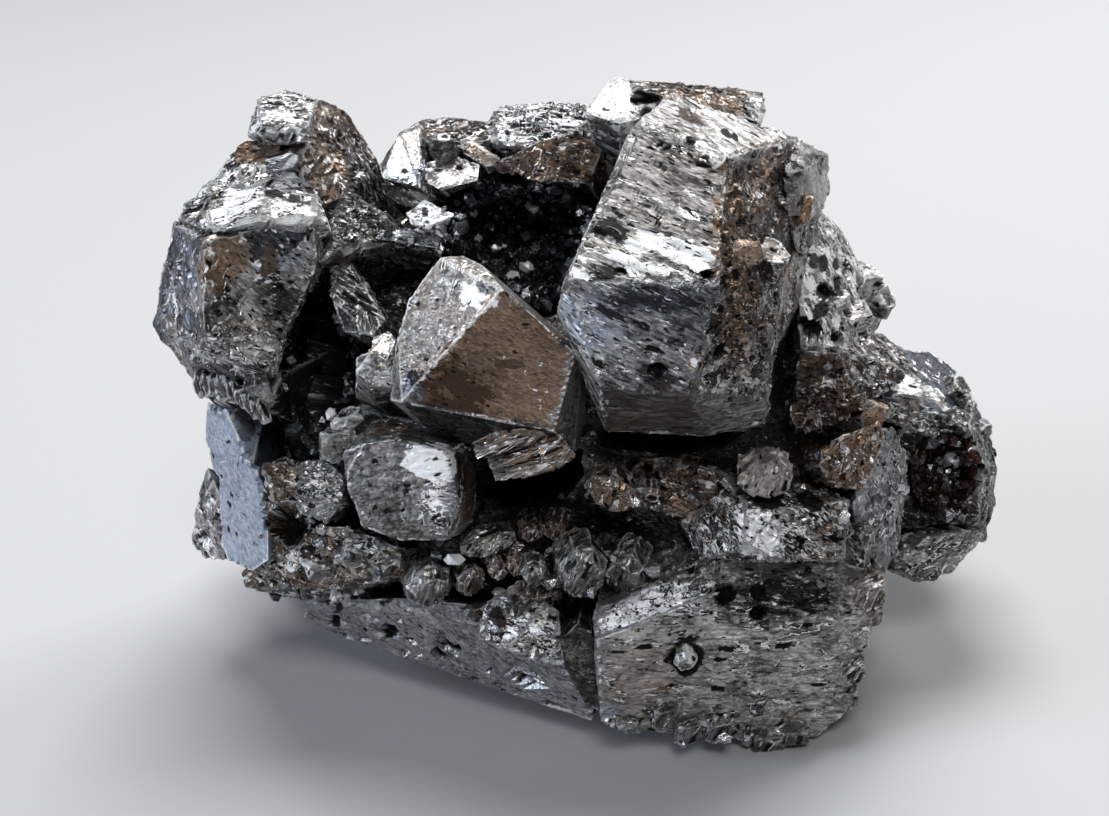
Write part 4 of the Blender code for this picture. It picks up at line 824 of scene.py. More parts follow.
# The crystals between the left hollow and the central crystal.
# A striated wedge and two small pale crystals stand on the hollow's right wall. A bright
# granular band of hematite runs from the hollow up to the back ridge.
grown("left_wall", [
    # the striated wedge
    crystal(
        [(-15.1, -7, 27.2), (-14.1, -7, 27.9), (-13.4, -6.5, 27.8), (-12.5, -7, 26.6),
         (-11.5, -8.5, 25.1), (-12.1, -9.5, 24.6), (-13.7, -9, 24.6), (-14.3, -8.5, 26.3),
         (-10, 2, 17)], 1,
        seed=16, size=64, middle=(-12.9, -7.6, 25.9), stripes=(0.7, 0, -0.7), tone=0.24, glow=0.15,
        lines=0.9, shade=0.2, stretch=4, steps=0.15, step_size=0.45, blocks=0.05, lumps=0.03),
    # two small pale crystals under it
    crystal(
        [(-12.1, -9.5, 24.5), (-11.3, -9, 24.7), (-10.8, -9.5, 24.4), (-10.8, -10, 23.5),
         (-11.3, -11, 23.7), (-12.3, -10.5, 24.1), (-9, 0, 15)], 1,
        seed=17, size=36, middle=(-11.5, -9.6, 23.9), tone=0.42, polish=0.5, glow=0.2, shade=0.15,
        lumps=0.04),
    crystal(
        [(-13, -9.8, 23.5), (-12.1, -10.5, 24.2), (-11, -11, 23.7), (-10.9, -11.5, 22.4),
         (-11.9, -11.5, 22.5), (-13, -10.8, 23), (-13.3, -9, 20.7), (-12.3, -9.5, 20.5),
         (-9.5, 0, 13)], 1,
        seed=18, size=48, middle=(-12, -10, 22.7), tone=0.45, glow=0.2, shade=0.15, lumps=0.04),
    # dark rubble over the hollow
    crystal(
        [(-16.1, -4, 29.8), (-14, -3, 30.9), (-11.1, -5, 29.4), (-10.9, -5.5, 28.7),
         (-12.7, -6, 28.9), (-13.7, -7, 27.9), (-15, -8, 28.3), (-13, 6, 24), (-6, 6, 22),
         (-14, 5, 18)], 3,
        seed=19, size=66, middle=(-13.3, -3.5, 28.3), tone=0.08, glow=0.1, lines=0.6, rubble=0.7,
        shade=0.6, mosaic=0.5, pits=0.1, blocks=0.3, lumps=0.06),
    # the granular band
    crystal(
        [(-12.7, -4.5, 29.3), (-11.1, -5, 29.3), (-8.5, -5.5, 28.9), (-8.7, -6, 28.4),
         (-10.7, -6, 28.7), (-12.5, -6, 29), (-7, 3, 20)], 1,
        seed=20, size=56, middle=(-10.6, -4.9, 28.5), tone=0.18, blue=0.4, polish=0.5, glow=0.08,
        rubble=0.5, shade=0.4, mosaic=0.5, blocks=0.12, block_size=0.9),
    # two small crystals at the hollow's foot
    crystal(habit((-14.5, -9, 18.1), (1.01, 0.92, 1.01), (10, 0, 20), 0.58), seed=21, size=30, tone=0.6),
    crystal(
        habit((-13.8, -9.2, 19.5), (0.95, 0.57, 0.43), (10, -15, 10), 0.79),
        seed=22, size=24, tone=0.9, glow=0.4),
], sharp=24)

# The ridge along the back.
# Small intergrown crystals, some pale and clean, some with a brown film of rust, that run from
# the left slab to the thin plate behind the big block.
grown("back_ridge", [
    # the pale slab at the ridge's left end, bluish below
    crystal(
        [(-12.3, -0.5, 31.4), (-11.1, 0.5, 33.1), (-10, 1.5, 33.4), (-9.6, 0, 31.5),
         (-8.8, -2.5, 30), (-9.8, -3, 30.9), (-11.9, -2.5, 31.3), (-10, 7, 26), (-6, 7, 25)], 2,
        seed=23, size=54, middle=(-10.2, -0.4, 31), tone=0.42, polish=0.6, glow=0.08, etch=0.1,
        shade=0.03, pits=0, lumps=0.03,
        stains=[patch((-10.6, -1.6, 31.4), (2, 2, 0.45), blue=0.6, glow=-0.8)]),
    # dark strips under the slab
    crystal(
        [(-12.1, -2, 30.9), (-11.1, -2.5, 30.9), (-9.1, -3.5, 30), (-9.5, -3.5, 29.6),
         (-10.9, -3, 29.9), (-11.9, -2.5, 30.3), (-7, 5, 21)], 1,
        seed=24, size=36, middle=(-10.5, -2.5, 30.1), tone=0.2, shade=0.35),
    # small clean crystals in front of it
    crystal(
        [(-10.6, -4, 29.8), (-9.5, -3.5, 30.4), (-7.7, -4.5, 29.8), (-8.2, -5.2, 28.6),
         (-10.2, -5, 29.4), (-9.5, -5.8, 29.5), (-5, 3, 21)], 1,
        seed=25, size=36, middle=(-9.2, -4.3, 29.3), tone=0.38, blue=0.3, polish=0.5, glow=0.05,
        rims=0.9, shade=0.12, blocks=0.05),
    crystal(
        [(-9.5, -1.5, 31.9), (-8.7, -1.5, 32.1), (-7.7, -1.5, 32.3), (-6.4, -2, 31.9),
         (-6.5, -3, 31.3), (-8.6, -3.5, 30.9), (-9.5, -3, 31.2), (-5, 5, 24)], 1,
        seed=26, size=42, middle=(-7.9, -2, 31.2), tone=0.4, polish=0.5, glow=0.2, etch=0.4, shade=0.2),
    # a short prism that stands up, rusty on top, with painted highlights there
    crystal(
        [(-9.3, -2, 33.3), (-9, -1.5, 33.6), (-8.2, -1.5, 33.7), (-7.8, -2, 33.3),
         (-7.8, -2, 32.6), (-8.6, -2.3, 32.1), (-9.3, -2, 32.6), (-6, 3, 26)], 1,
        seed=27, size=36, middle=(-8.4, -1.4, 32.5), tone=0.18, rims=0.3, etch=0.2, pits=0.04,
        lumps=0.04,
        stains=[patch((-8.5, -1.8, 33.7), 0.5, brown=0.5, glow=0.6)]),
    # brown rubble behind it
    crystal(
        [(-11.4, 3, 32.2), (-10.1, 3, 33), (-8, 3, 33.2), (-6.3, 2, 33.3), (-5.7, 0, 32.7),
         (-7, 0, 32.1), (-9.6, 0, 32.6), (-10, 8, 25), (-1, 8, 26), (-6, 9, 22)], 3,
        seed=28, size=66, middle=(-8, 2.5, 31), tone=0.16, brown=0.25, glow=0.22, lines=0.7,
        rubble=0.8, shade=0.45, mosaic=0.6, pits=0.12, blocks=0.12, block_size=0.8, lumps=0.06),
    # the broken middle of the ridge, bright with painted highlights
    crystal(
        [(-6.3, 2, 33.2), (-5.4, 3, 33.8), (-4.1, 4, 33.8), (-2.3, 4, 33.9), (-0.4, 4, 33.7),
         (0, 2, 33.4), (-1.9, -1, 32.9), (-4.1, -1.5, 32.5), (-5.8, -0.5, 32.8), (-4, 8, 26),
         (3, 9, 27), (0, 9, 22)], 3,
        seed=29, size=72, middle=(-3, 2, 31.5), tone=0.4, blue=0.15, polish=0.5, glow=0.42, lines=0.9,
        rubble=0.6, shade=0.35, mosaic=0.6, pits=0.12, pit_size=0.6, steps=0.2, blocks=0.14,
        block_size=0.9, lumps=0.05),
    # two brown crystals over the pocket
    crystal(
        [(-7.7, -0.8, 33), (-7, -0.5, 33.1), (-5.3, -2, 32.4), (-5.1, -2, 31.9),
         (-6.1, -2.3, 31.9), (-7.4, -1.3, 32.4), (-4, 3, 25)], 1,
        seed=30, size=36, middle=(-6.4, -1, 32.1), tone=0.4, brown=0.4, shade=0.2),
    crystal(
        [(-5.7, -2, 31.9), (-3, -2, 33.3), (-0.8, -1.5, 33.6), (0.6, -1.5, 32.7), (-0.2, -3, 31.3),
         (-2.6, -3.5, 31.4), (-5.1, -3, 31.2), (-3, 5, 25), (2, 5, 25)], 2,
        seed=31, size=66, middle=(-2.5, -1, 31.5), tone=0.12, brown=0.6, glow=0.03, lines=0.2,
        rubble=0.9, shade=0.55, mosaic=0.4, pits=0.1, blocks=0.12, lumps=0.06),
    # the three-sided crystal behind the big block, bright with painted highlights
    crystal(
        [(-0.3, -0.5, 35), (0.7, 0.5, 35.9), (1.6, 1.5, 36.1), (2.7, 1.5, 35.6), (2, -1, 34.9),
         (2.7, -2, 34.6), (1.4, -3, 34.6), (-0.5, -2, 34.9), (2, 6, 24)], 1,
        seed=32, size=60, middle=(1.2, -0.4, 34.5), tone=0.6, polish=0.6, glow=0.45, etch=0.3,
        rubble=0.1, shade=0.14, pits=0.06, lumps=0.1),
    # the thin plate beside it
    crystal(
        [(1.8, 1.5, 35.7), (5, 2, 35.5), (8.8, 2.5, 35), (9.9, 2.5, 34.8), (10, 1.5, 34.2),
         (9.7, 0.5, 33.7), (7.1, -1, 34.8), (3.4, -2, 35.6), (2.6, -2, 35.2), (3, 8, 24),
         (9, 7, 24)], 2,
        seed=33, size=66, middle=(6, 1.2, 34.4), tone=0.34, brown=0.3, polish=0.5, glow=0.18,
        rubble=0.6, shade=0.42, mosaic=0.6, blocks=0.12, lumps=0.1,
        stains=[patch((6.6, -0.6, 35), (2.2, 1.5, 0.6), brown=0.7, glow=-0.5),
                patch((9.7, 1, 34.4), 1, glow=0.6)]),
], sharp=20)

# The big block.
# The largest crystal. Its upper face, bright with painted highlights, is etched into long wavy
# steps and pits that run down to the right; the narrow top face is clean, with large painted white
# highlights, and the lower face is painted dark as its shade.
grown("big_block", [
    crystal(
        [(2.1, -11.5, 37.4), (4, -7.5, 37.6), (11.2, -4.5, 34.3), (6.5, -12.9, 35.8),
         (0.1, -13.9, 33.9), (-1.6, -16.3, 30.5), (5.9, -16.8, 30.2), (-2.1, -15.6, 28.5),
         (0.1, -17.2, 25), (4.7, -17.5, 24.6), (0.5, -14, 21), (5.7, -13.5, 20.4),
         (9.1, -13, 20.9), (8.9, -15, 23.4), (8.9, -15, 26.1), (2, 3, 30), (0, 3, 19), (11, 3, 18)], 3,
        seed=41, size=222, middle=(4.2, -10.5, 28.2), stripes=(2.7, -0.7, -1), facets=0.2, rubble=0.6,
        mosaic=0.2, stretch=3.4, blocks=0.1, block_size=1.3, lumps=0.12,
        # the upper face: painted highlights in patches and along the growth steps
        looks=[face(-3, 36, 20, tone=0.4, polish=0.25, glow=0.39, lines=0.5, facets=0.12, etch=0.9,
                    rubble=0, shade=0.12, mosaic=0.06, pits=0.06, pit_size=0.4, pit_share=0.22,
                    steps=0.1, step_size=1.1, blocks=0),
               # the narrow top face: large painted white highlights
               face(62, 56, 25, tone=0.45, polish=0.38, glow=0.29, lines=0.3, facets=0.15, rubble=0,
                    shade=0.18, mosaic=0.1, pits=0.05, lumps=0.08),
               face(0, 5, 18, tone=0.38, brown=0.1, blue=0.15, polish=0.5, glow=0.05, lines=0.42,
                    rims=0.35, facets=0.15, rubble=0.1, shade=0.3, mosaic=0.12, pits=0.1,
                    pit_share=0.2, blocks=0.06, block_size=0.8),
               # the lower face, which looks down: painted dark as its shade
               face(0, -40, 14, tone=0.14, brown=0.3, lines=0, rims=0.15, facets=0.05, etch=0.12,
                    rubble=0, shade=0.02, mosaic=0.04, pits=0.02, blocks=0, lumps=0.05),
               face(-101, 15, 20, lines=0.15, etch=0.4, shade=0.15),
               face(66, 9, 22, tone=0.34, brown=0.45, polish=0.5, glow=0.08, rims=0.3, rubble=0.5,
                    shade=0.4, mosaic=0.4, stretch=1.2, blocks=0.2, block_size=0.9),
               face(30, 0, 12, tone=0.33, brown=0.15, lines=0.3, rims=0.35, shade=0.25, mosaic=0.35,
                    stretch=1.3, blocks=0.15, block_size=0.7),
               face(17, -38, 8, tone=0.36, brown=0.1, lines=0.3, rims=0.2, etch=0.7, rubble=0,
                    mosaic=0.05, stretch=3, blocks=0)],
        stains=[patch((-0.8, -16.4, 28.2), (1.9, 2, 1.6), tone=0.25, blue=0.6, glow=0.15),
                patch((3.3, -12.6, 34.9), (2.9, 1.5, 0.7), tone=-0.08, glow=-0.35, lines=-0.4),
                patch((0.7, -14.6, 32.5), (1.2, 1.5, 0.8), glow=-0.3, shade=0.5),
                patch((0.3, -15.6, 30.8), (0.9, 1, 0.5), glow=-0.3, shade=0.5),
                patch((6.7, -9.4, 36), (0.32, 0.6, 0.24), pit=1.3),
                patch((7.2, -9.4, 35.8), (0.2, 0.5, 0.2), pit=1.3),
                patch((8.9, -8.1, 35.3), (0.3, 0.5, 0.15), pit=1),
                patch((5, -9.5, 36.9), (1.4, 0.9, 0.5), brown=0.4, glow=-0.2, shade=0.45),
                patch((2.6, -15.6, 31.3), (3.4, 2.2, 1.4), glow=0.24),
                patch((8.9, -13.4, 27), (1.6, 2.6, 3.6), brown=-0.5),
                # the hole low on the front face, painted dark as its shade
                patch((3, -16.8, 25.7), (0.7, 1.5, 0.6), tone=-1),
                patch((4.9, -17.3, 26.4), 0.35, tone=0.4, brown=1.2, glow=0.5),
                patch((2.6, -16.4, 29.6), (2.6, 2, 0.7), tone=-0.2, blue=0.4, glow=-0.4, shade=0.15),
                patch((6.4, -16, 25.4), (1.9, 2, 1.6), tone=0.06, rubble=0.7),
                patch((7.6, -15.6, 28), (1.4, 2, 2.4), tone=-0.1, brown=0.5),
                patch((6.4, -14.4, 32.8), (0.8, 2, 1.6), brown=0.8, glow=-0.2),
                patch((6.6, -15.4, 30.9), 1, brown=0.7, glow=-0.4)]),
])

# The big block's flank.
# Smaller crystals that grew on its right side: a clean grey one at the top, and below it a
# rust-stained mass with holes where crystals fell out.
grown("block_flank", [
    # the clean grey crystal at the top
    crystal(
        [(10.3, -7.8, 34.7), (11.3, -5.4, 34.3), (12.9, -4, 33.2), (13.1, -4.5, 31.2),
         (12.2, -7, 30.4), (10, -9.6, 31.6), (9.8, -9.2, 33.6), (11.2, -8.1, 33.6),
         (11.5, -8.1, 30.7), (11, 0, 29)], 1,
        seed=50, size=72, tone=0.45, polish=0.6, glow=0.06, lines=0.15, rims=0.45, facets=0.1,
        etch=0.15, rubble=0.05, shade=0.06, mosaic=0.1, chips=0.25, pits=0.03, lumps=0.04),
    # three small ones on the brown side
    crystal(
        habit((7.1, -13.9, 31.1), (1.2, 0.8, 0.7), (10, 15, 35), 0.8),
        seed=52, size=44, cut=False, tone=0.45, brown=0.8, polish=0.6, rims=0.3, rubble=0.1),
    crystal(
        habit((11.2, -8.3, 31.4), (0.3, 0.3, 0.8), (0, 15, 0), 0.8),
        seed=49, size=28, cut=False, tone=0.75, brown=1.4, polish=0.6, rims=0.3, rubble=0.05,
        mosaic=0.1),
    crystal(
        habit((8.7, -12.2, 30), (1.1, 0.9, 0.9), (20, 25, -15), 0.7),
        seed=40, size=44, cut=False, tone=0.2, brown=0.3, shade=0.3, mosaic=0.5, block_size=0.6),
    # the mass below
    crystal(
        [(10, -7, 34.9), (11.2, -4.5, 34.3), (12.7, -3.5, 33.1), (12.8, -4, 32.4),
         (12.3, -5.5, 30.5), (11.1, -9, 26.5), (9.5, -12.5, 25.3), (8.5, -14, 27.9),
         (7.7, -12.3, 33.3), (7.5, -10.8, 34.9), (14, 4, 26), (12, 3, 18)], 2,
        seed=42, size=128, middle=(9.6, -7.5, 30.2), tone=0.3, brown=0.12, polish=0.5, glow=0.06,
        lines=0.4, rims=0.5, facets=0.2, rubble=0.25, shade=0.3, mosaic=0.5, chips=0.3, pits=0.1,
        pit_size=0.6, stretch=1.2, blocks=0.16, block_size=1.3, lumps=0.1,
        stains=[patch((8.4, -11, 33.6), (1.3, 2, 1.3), tone=0.1, brown=0.9, glow=0.2, shade=0.15),
                patch((10.7, -8.1, 31.7), (0.5, 1, 1), tone=0.3, brown=1.4),
                patch((11.6, -5.6, 32.8), (1.3, 1.6, 2.2), tone=0.2, etch=-0.5, rubble=-0.8,
                      shade=-0.5),
                patch((12.1, -4.8, 33.4), 0.7, glow=0.5),
                patch((9.6, -10.6, 30.2), (1.6, 2.5, 1.2), tone=-0.15, shade=0.25),
                # two holes where crystals fell out, painted black as their shade
                patch((8.9, -12.4, 28.2), (0.5, 0.8, 0.9), pit=1.3),
                patch((10.3, -9.6, 29.6), (0.4, 0.7, 0.5), pit=1.3),
                patch((8.6, -13.5, 30.4), 1.3, tone=-0.1, brown=0.7)]),
], sharp=32)

# The right side.
# A pitted mass, bright with painted highlights, a shelf with a brown fracture under it, a rust-covered
# lump, and grey
# faces where crystals broke off. Small crystals fill the gaps between them.
grown("right_side", [
    # the pitted mass, bright with painted highlights
    crystal(
        [(12.8, -2, 29.5), (14, -1, 28), (15.1, -1, 26.7), (15.9, 0, 24.8), (15.2, -4.5, 23.5),
         (13.1, -8.5, 22), (11.3, -9, 23.5), (11.1, -9, 26.5), (11.6, -6.5, 28.7),
         (14.8, -6.5, 19.4), (16, 6, 23), (12, 5, 14)], 2,
        seed=43, size=106, middle=(12.6, -3.5, 24.8), tone=0.45, polish=0.45, glow=0.4, lines=0.6,
        etch=0.8, rubble=0.2, shade=0.15, mosaic=0.15, chips=0.3, pits=0.35, pit_size=1.3, stretch=2,
        blocks=0.1, block_size=1.6, lumps=0.1,
        # the cavities in the mass, painted black as their shade
        stains=[patch((12, -6.4, 27.8), (0.5, 0.6, 0.3), pit=2),
                patch((12.9, -5.6, 27.3), (0.55, 0.7, 0.36), pit=2),
                patch((13.9, -4.2, 26.8), (0.35, 0.5, 0.35), pit=2),
                patch((14.6, -3.2, 26.4), (0.25, 0.4, 0.3), pit=2),
                patch((12.6, -7.6, 25.3), (0.9, 0.8, 0.35), pit=2),
                patch((13.8, -6.9, 24.3), (0.5, 0.8, 0.5), glow=0.5)]),
    # low crystals at its right
    crystal(
        [(16, 1, 24.6), (16.8, 2, 23.9), (18, 3, 22.7), (18.2, 3, 21.4), (17.6, 2, 20.7),
         (16.6, 0, 20.3), (18, 9, 18), (14, 9, 15)], 2,
        seed=44, size=48, middle=(16.6, 3.5, 21.5), tone=0.4, glow=0.28, shade=0.2, pits=0.15,
        blocks=0.15, lumps=0.1),
    # the shelf
    crystal(
        [(17.3, 0, 20.8), (19, 1, 19.4), (19.1, -2.5, 19.1), (15.9, -5.5, 20.7), (13.5, -8, 23.4),
         (14.6, -7, 19.5), (10.9, -9.5, 23.8), (15.7, -6.5, 19.2), (12, 5, 12), (19, 6, 14)], 2,
        seed=45, size=92, middle=(15, -4, 19.5), tone=0.36, brown=0.25, glow=0.16, lines=0.8, etch=0.8,
        rubble=0.8, shade=0.45, mosaic=0.6, chips=0.3, pits=0.12, stretch=2.2, blocks=0.16,
        block_size=1, lumps=0.06),
    # the brown fracture under it
    crystal(
        [(11.2, -9.5, 23.8), (13.6, -8.3, 23.1), (15.3, -7, 19.3), (14.3, -7.5, 18.3),
         (11.3, -9, 18.7), (10.7, -9.5, 20.8), (13, 4, 11)], 1,
        seed=46, size=76, middle=(12.8, -7, 20), tone=0.18, brown=0.6, glow=0.05, lines=0.3,
        rubble=0.8, shade=0.5, mosaic=0.5, pits=0.1, stretch=2, steps=0.2, step_size=0.6, blocks=0.3,
        block_size=0.9, lumps=0.1),
    # the grey striated face
    crystal(
        [(15.6, -7.5, 18), (17.3, -6.5, 17.7), (18.2, -6, 15.9), (18.5, -6, 13), (18.2, -6, 9.3),
         (17.5, -6.5, 7.9), (15.4, -8.5, 11.4), (14.7, -9.5, 14.2), (16.2, -8, 15.7), (14, 4, 6)], 1,
        seed=47, size=66, middle=(16.4, -5, 13), stripes=(-0.3, 0.2, 1), tone=0.42, blue=0.2,
        polish=0.3, lines=0.6, rubble=0.4, shade=0.12, pits=0.1, steps=0.12, step_size=0.5,
        block_size=1.6),
    # the rust-covered lump
    crystal(
        [(12.7, -9.5, 17.8), (14, -9.5, 18.5), (16.3, -7.5, 18.6), (16.7, -7, 17.1),
         (16.1, -8, 15.7), (15.1, -9.5, 15), (13.2, -10.5, 16.2), (12.5, -10.5, 17.2), (12, 2, 10)], 1,
        seed=48, size=76, middle=(14.3, -7.8, 16.7), brown=1, polish=0.2, glow=0.1, rubble=0.8,
        shade=0.3, mosaic=0.5, stretch=1, blocks=0.25, lumps=0.1),
    # small crystals in the gaps and on the shelf's edges
    crystal(
        habit((15.9, -5.8, 18.3), (1.1, 0.6, 0.8), (15, 30, 35), 0.7),
        seed=180, size=40, tone=0.75, brown=1.2, rubble=0.5, shade=0.15),
    crystal(
        habit((15.3, -9, 11.3), (0.8, 0.6, 1.4), (10, 10, -35), 0.8),
        seed=181, size=40, tone=0.3, rubble=0.4, shade=0.3, mosaic=0.4),
    crystal(habit((13.4, -5.4, 25.4), (0.9, 0.8, 0.62), (10, 35, 20), 0.79), seed=51, size=24, glow=0.4),
    crystal(habit((15.9, -0.4, 24.4), (0.9, 1.03, 0.78), (15, 20, 35), 0.61), seed=53, size=24, glow=0.3),
    crystal(habit((17.2, 0.6, 22.6), (0.78, 0.92, 0.67), (30, 40, 10), 0.82), seed=54, size=24, glow=0.3),
    crystal(habit((15.1, -4.4, 23.7), (0.78, 0.8, 0.56), (20, -30, 5), 0.73), seed=55, size=24, glow=0.3),
], sharp=32)

# The lobe at the far right, around its own small hollow.
# Clean bluish plates of hematite on top, dark etched faces below, and small crystals grown
# over the seams.
grown("right_lobe", [
    # the etched strip along the front
    crystal(
        [(16.2, -4.7, 18.7), (18.5, -4.5, 18.6), (21.3, -3, 16.9), (23, -2, 14.9),
         (22.3, -2.6, 14.4), (18.6, -4.6, 16.7), (16.9, -4.9, 17.3), (20, 3, 13), (18, 4, 14)], 2,
        seed=88, size=72, tone=0.36, polish=0.5, glow=0.22, lines=0.6, etch=0.7, shade=0.35,
        mosaic=0.5, pits=0.12, pit_size=0.8, stretch=2.5, blocks=0.12, block_size=0.8),
    # the bluish plates
    crystal(
        [(19.3, 2, 18.9), (21.2, 4, 17.8), (22.9, 4, 16.6), (24.1, 3, 15), (24.5, 1.5, 14),
         (20.4, -4, 17.2), (17, -4.5, 18.3), (16.4, -4.5, 19.7), (19, 10, 14), (15, 9, 13)], 2,
        seed=56, size=72, middle=(20.3, 1, 15.8), tone=0.09, blue=0.6, polish=0.2, glow=0.05,
        lines=0.3, rubble=0.1, shade=0.12, mosaic=0.15, pits=0.06, blocks=0.06, block_size=2,
        lumps=0.05),
    # the dark body round the cup
    crystal(
        [(20.5, -3.5, 17.2), (24.1, 3, 15), (25.1, 2, 12.7), (25.5, 1, 11.1), (25.3, 0, 9.2),
         (24.6, -1, 7.2), (23.6, -3, 9.7), (23.4, -3.5, 13.4), (22.4, -3.5, 16), (18.5, -3.8, 9.5),
         (18, -3.5, 16), (21, 8, 6), (21, 9, 12), (15, 4, 10)], 3,
        seed=57, size=90, middle=(20.8, 1.5, 11.5), tone=0.2, glow=0.06, rubble=0.6, shade=0.45,
        mosaic=0.5, pits=0.1, stretch=2.5, blocks=0.2, block_size=1.2, lumps=0.1),
    # the striated foot
    crystal(
        [(24.4, -2, 8.1), (22.9, -2.5, 6.4), (21.2, -3.5, 5.7), (19.9, -4, 5.9), (18.5, -4.5, 6.9),
         (18.2, -5, 8.3), (20.2, -5.5, 10), (22.1, -5, 10.1), (23.6, -3.5, 9.3), (18, 9, 5),
         (15, 7, 3)], 2,
        seed=58, size=60, middle=(20.6, -1.5, 7.8), stripes=(1, 0.2, 0.5), tone=0.35, glow=0.1,
        lines=0.8, rubble=0.4, shade=0.3, mosaic=0.4, steps=0.15, step_size=0.55, block_size=0.9),
    # small crystals over the seams
    crystal(
        habit((18.3, -3.4, 18.7), (1.06, 0.92, 0.5), (25, 12, 10), 0.64),
        seed=59, size=24, tone=0.6, glow=0.4),
    crystal(
        habit((20.2, -2.2, 17.2), (0.9, 0.92, 0.5), (30, 28, 20), 0.55),
        seed=60, size=24, tone=0.6, glow=0.4),
    crystal(
        habit((22.3, 0.8, 16.6), (0.78, 0.92, 0.67), (20, 40, 10), 0.76),
        seed=61, size=24, tone=0.35, glow=0.1),
    crystal(
        habit((23.9, 1.6, 13.7), (0.67, 0.92, 0.78), (10, 20, 40), 0.67),
        seed=62, size=24, tone=0.3, glow=0.1),
    crystal(habit((19.4, -4.4, 8.5), (0.84, 0.8, 0.62), (20, 10, 15), 0.79), seed=64, size=24, tone=0.4),
    crystal(habit((21.7, -3.1, 7.1), (0.84, 0.8, 0.62), (10, -30, 25), 0.7), seed=65, size=24, tone=0.4),
])

# The central crystal, the thin plates stacked under it, and the eight-sided crystal.
# The central crystal is smooth, with its face at the upper left painted pale as its reflection of
# the light from there, and a warm brown film on the right one. The eight-sided crystal under it is
# granular, with one patch of painted white highlight.
plate = {"glow": 0.12, "lines": 0.95, "stretch": 5, "steps": 0.12, "step_size": 0.4}
central_crystals = [
    # the central crystal
    crystal(
        [(-8.3, -9.5, 29.2), (-7.1, -9.5, 29.3), (-5, -14, 29.1), (-1.1, -14.8, 25.7),
         (-2.2, -15.2, 21.5), (-5.1, -14.8, 22.3), (-7.6, -14.5, 23.2), (-10.3, -14.2, 22.8),
         (-11, -12.5, 22.1), (-11, -11.5, 23.3), (-10.6, -11, 25.3), (-10, -9.9, 27),
         (-3.5, -10.5, 26.8), (-0.7, -10.5, 23.7), (-0.6, -10.5, 21.2), (-1.1, -11.5, 18.5),
         (-6.8, -11.5, 19), (-9.2, -12, 20.1), (-3, 0, 20), (-8, 0, 20), (-8, 0, 13), (0, 0, 14)], 4,
        seed=66, size=150, middle=(-5.8, -11, 24), lines=0.05, mosaic=0.06, pits=0.05, pit_size=0.3,
        pit_share=0.15, lumps=0.06,
        # the face at the upper left, painted pale as its reflection of the light
        looks=[face(-53, 35, 20, tone=0.72, brown=0.4, glow=0.16, lines=0.4, facets=0.15, etch=0.2,
                    rubble=0.02, shade=0.04, mosaic=0.08, lumps=0.04),
               face(-5, 7, 15, tone=0.42, brown=0.85, polish=0.5, facets=0.1, etch=0.15, rubble=0.05,
                    shade=0.04),
               # the face that looks down, painted darker as its shade
               face(0, -40, 35, tone=0.25, brown=0.1, polish=0.6)],
        stains=[patch((-7.5, -14.4, 23.5), (2.5, 2, 1.9), tone=-0.2, etch=0.8, rubble=0.3, shade=0.6),
                patch((-6.2, -13.2, 28.3), (1.8, 1.8, 0.6), glow=0.5),
                # a small pit, painted dark as its shade
                patch((-4.5, -14.6, 25.15), (0.6, 0.5, 0.2), tone=-1.5),
                patch((-3.3, -14.8, 24.2), (2.4, 1.5, 1.8), tone=0.06, glow=0.27, lines=0.3),
                patch((-9.8, -14, 23.4), (0.8, 1, 0.7), brown=-0.6, blue=0.6)]),
    # the two thick plates
    crystal(
        [(-6.8, -12.8, 19.7), (-5.1, -15, 21.6), (-3.2, -15.5, 21.9), (-2.5, -15, 21.3),
         (-4, -14.8, 20.3), (-5.6, -14, 19.7), (-3, 0, 12)], 1,
        seed=67, size=48, middle=(-4.3, -13.3, 20.5), stripes=(1, 0, 0.6), brown=0.8, shade=0.25,
        **plate),
    crystal(
        [(-5.7, -13.2, 19.3), (-4.1, -14.6, 20.1), (-2.1, -15, 21.2), (-1, -13, 19.1),
         (-1.9, -14, 18.9), (-4, -14.2, 18.3), (-5.1, -13.8, 19), (-2, 0, 11)], 1,
        seed=68, size=48, middle=(-3.1, -12.8, 19.2), stripes=(1, 0, 0.6), tone=0.45, brown=0.7,
        shade=0.3, **plate),
    # the eight-sided crystal
    crystal(
        [(-13.9, -11, 18.3), (-13.4, -10.5, 18.8), (-12.2, -9, 19.4), (-9.1, -9.5, 19.2),
         (-6.8, -9.5, 18.5), (-7.8, -14.3, 19.9), (-10.5, -13.1, 20.1), (-12.5, -12.4, 19.5),
         (-13.6, -12, 17.7), (-13.6, -12.1, 16.5), (-12.8, -12.6, 14.4), (-10.7, -13.5, 14.1),
         (-8, -14.6, 14.9), (-7.4, -14.6, 17.2), (-6.4, -9.5, 17.9), (-6.2, -10, 16),
         (-6.9, -11.5, 14.2), (-12, 0, 8), (-6, 0, 8), (-11, 0, 12), (-6, 0, 12)], 4,
        seed=69, size=108, middle=(-10, -10.5, 17), stripes=(1, 0, 0.5), tone=0.33, glow=0.02,
        lines=0.3, facets=0.15, etch=0.3, rubble=0.12, shade=0.06, mosaic=0.2, chips=0.25, pits=0.06,
        pit_size=0.4, steps=0.08, step_size=0.6, block_size=1.2, lumps=0.06,
        # a painted white highlight
        stains=[patch((-8.9, -13.9, 19), (1.5, 1.2, 1), glow=1.1, shade=-0.3),
                patch((-8.1, -14.4, 16.6), (1.5, 1.2, 1.6), glow=0.42, lines=0.8, shade=0.35),
                patch((-6.8, -12.4, 16.5), (1, 1.2, 1.8), brown=1, glow=-0.3),
                patch((-11.2, -10.8, 19.6), 1, brown=0.8)]),
]
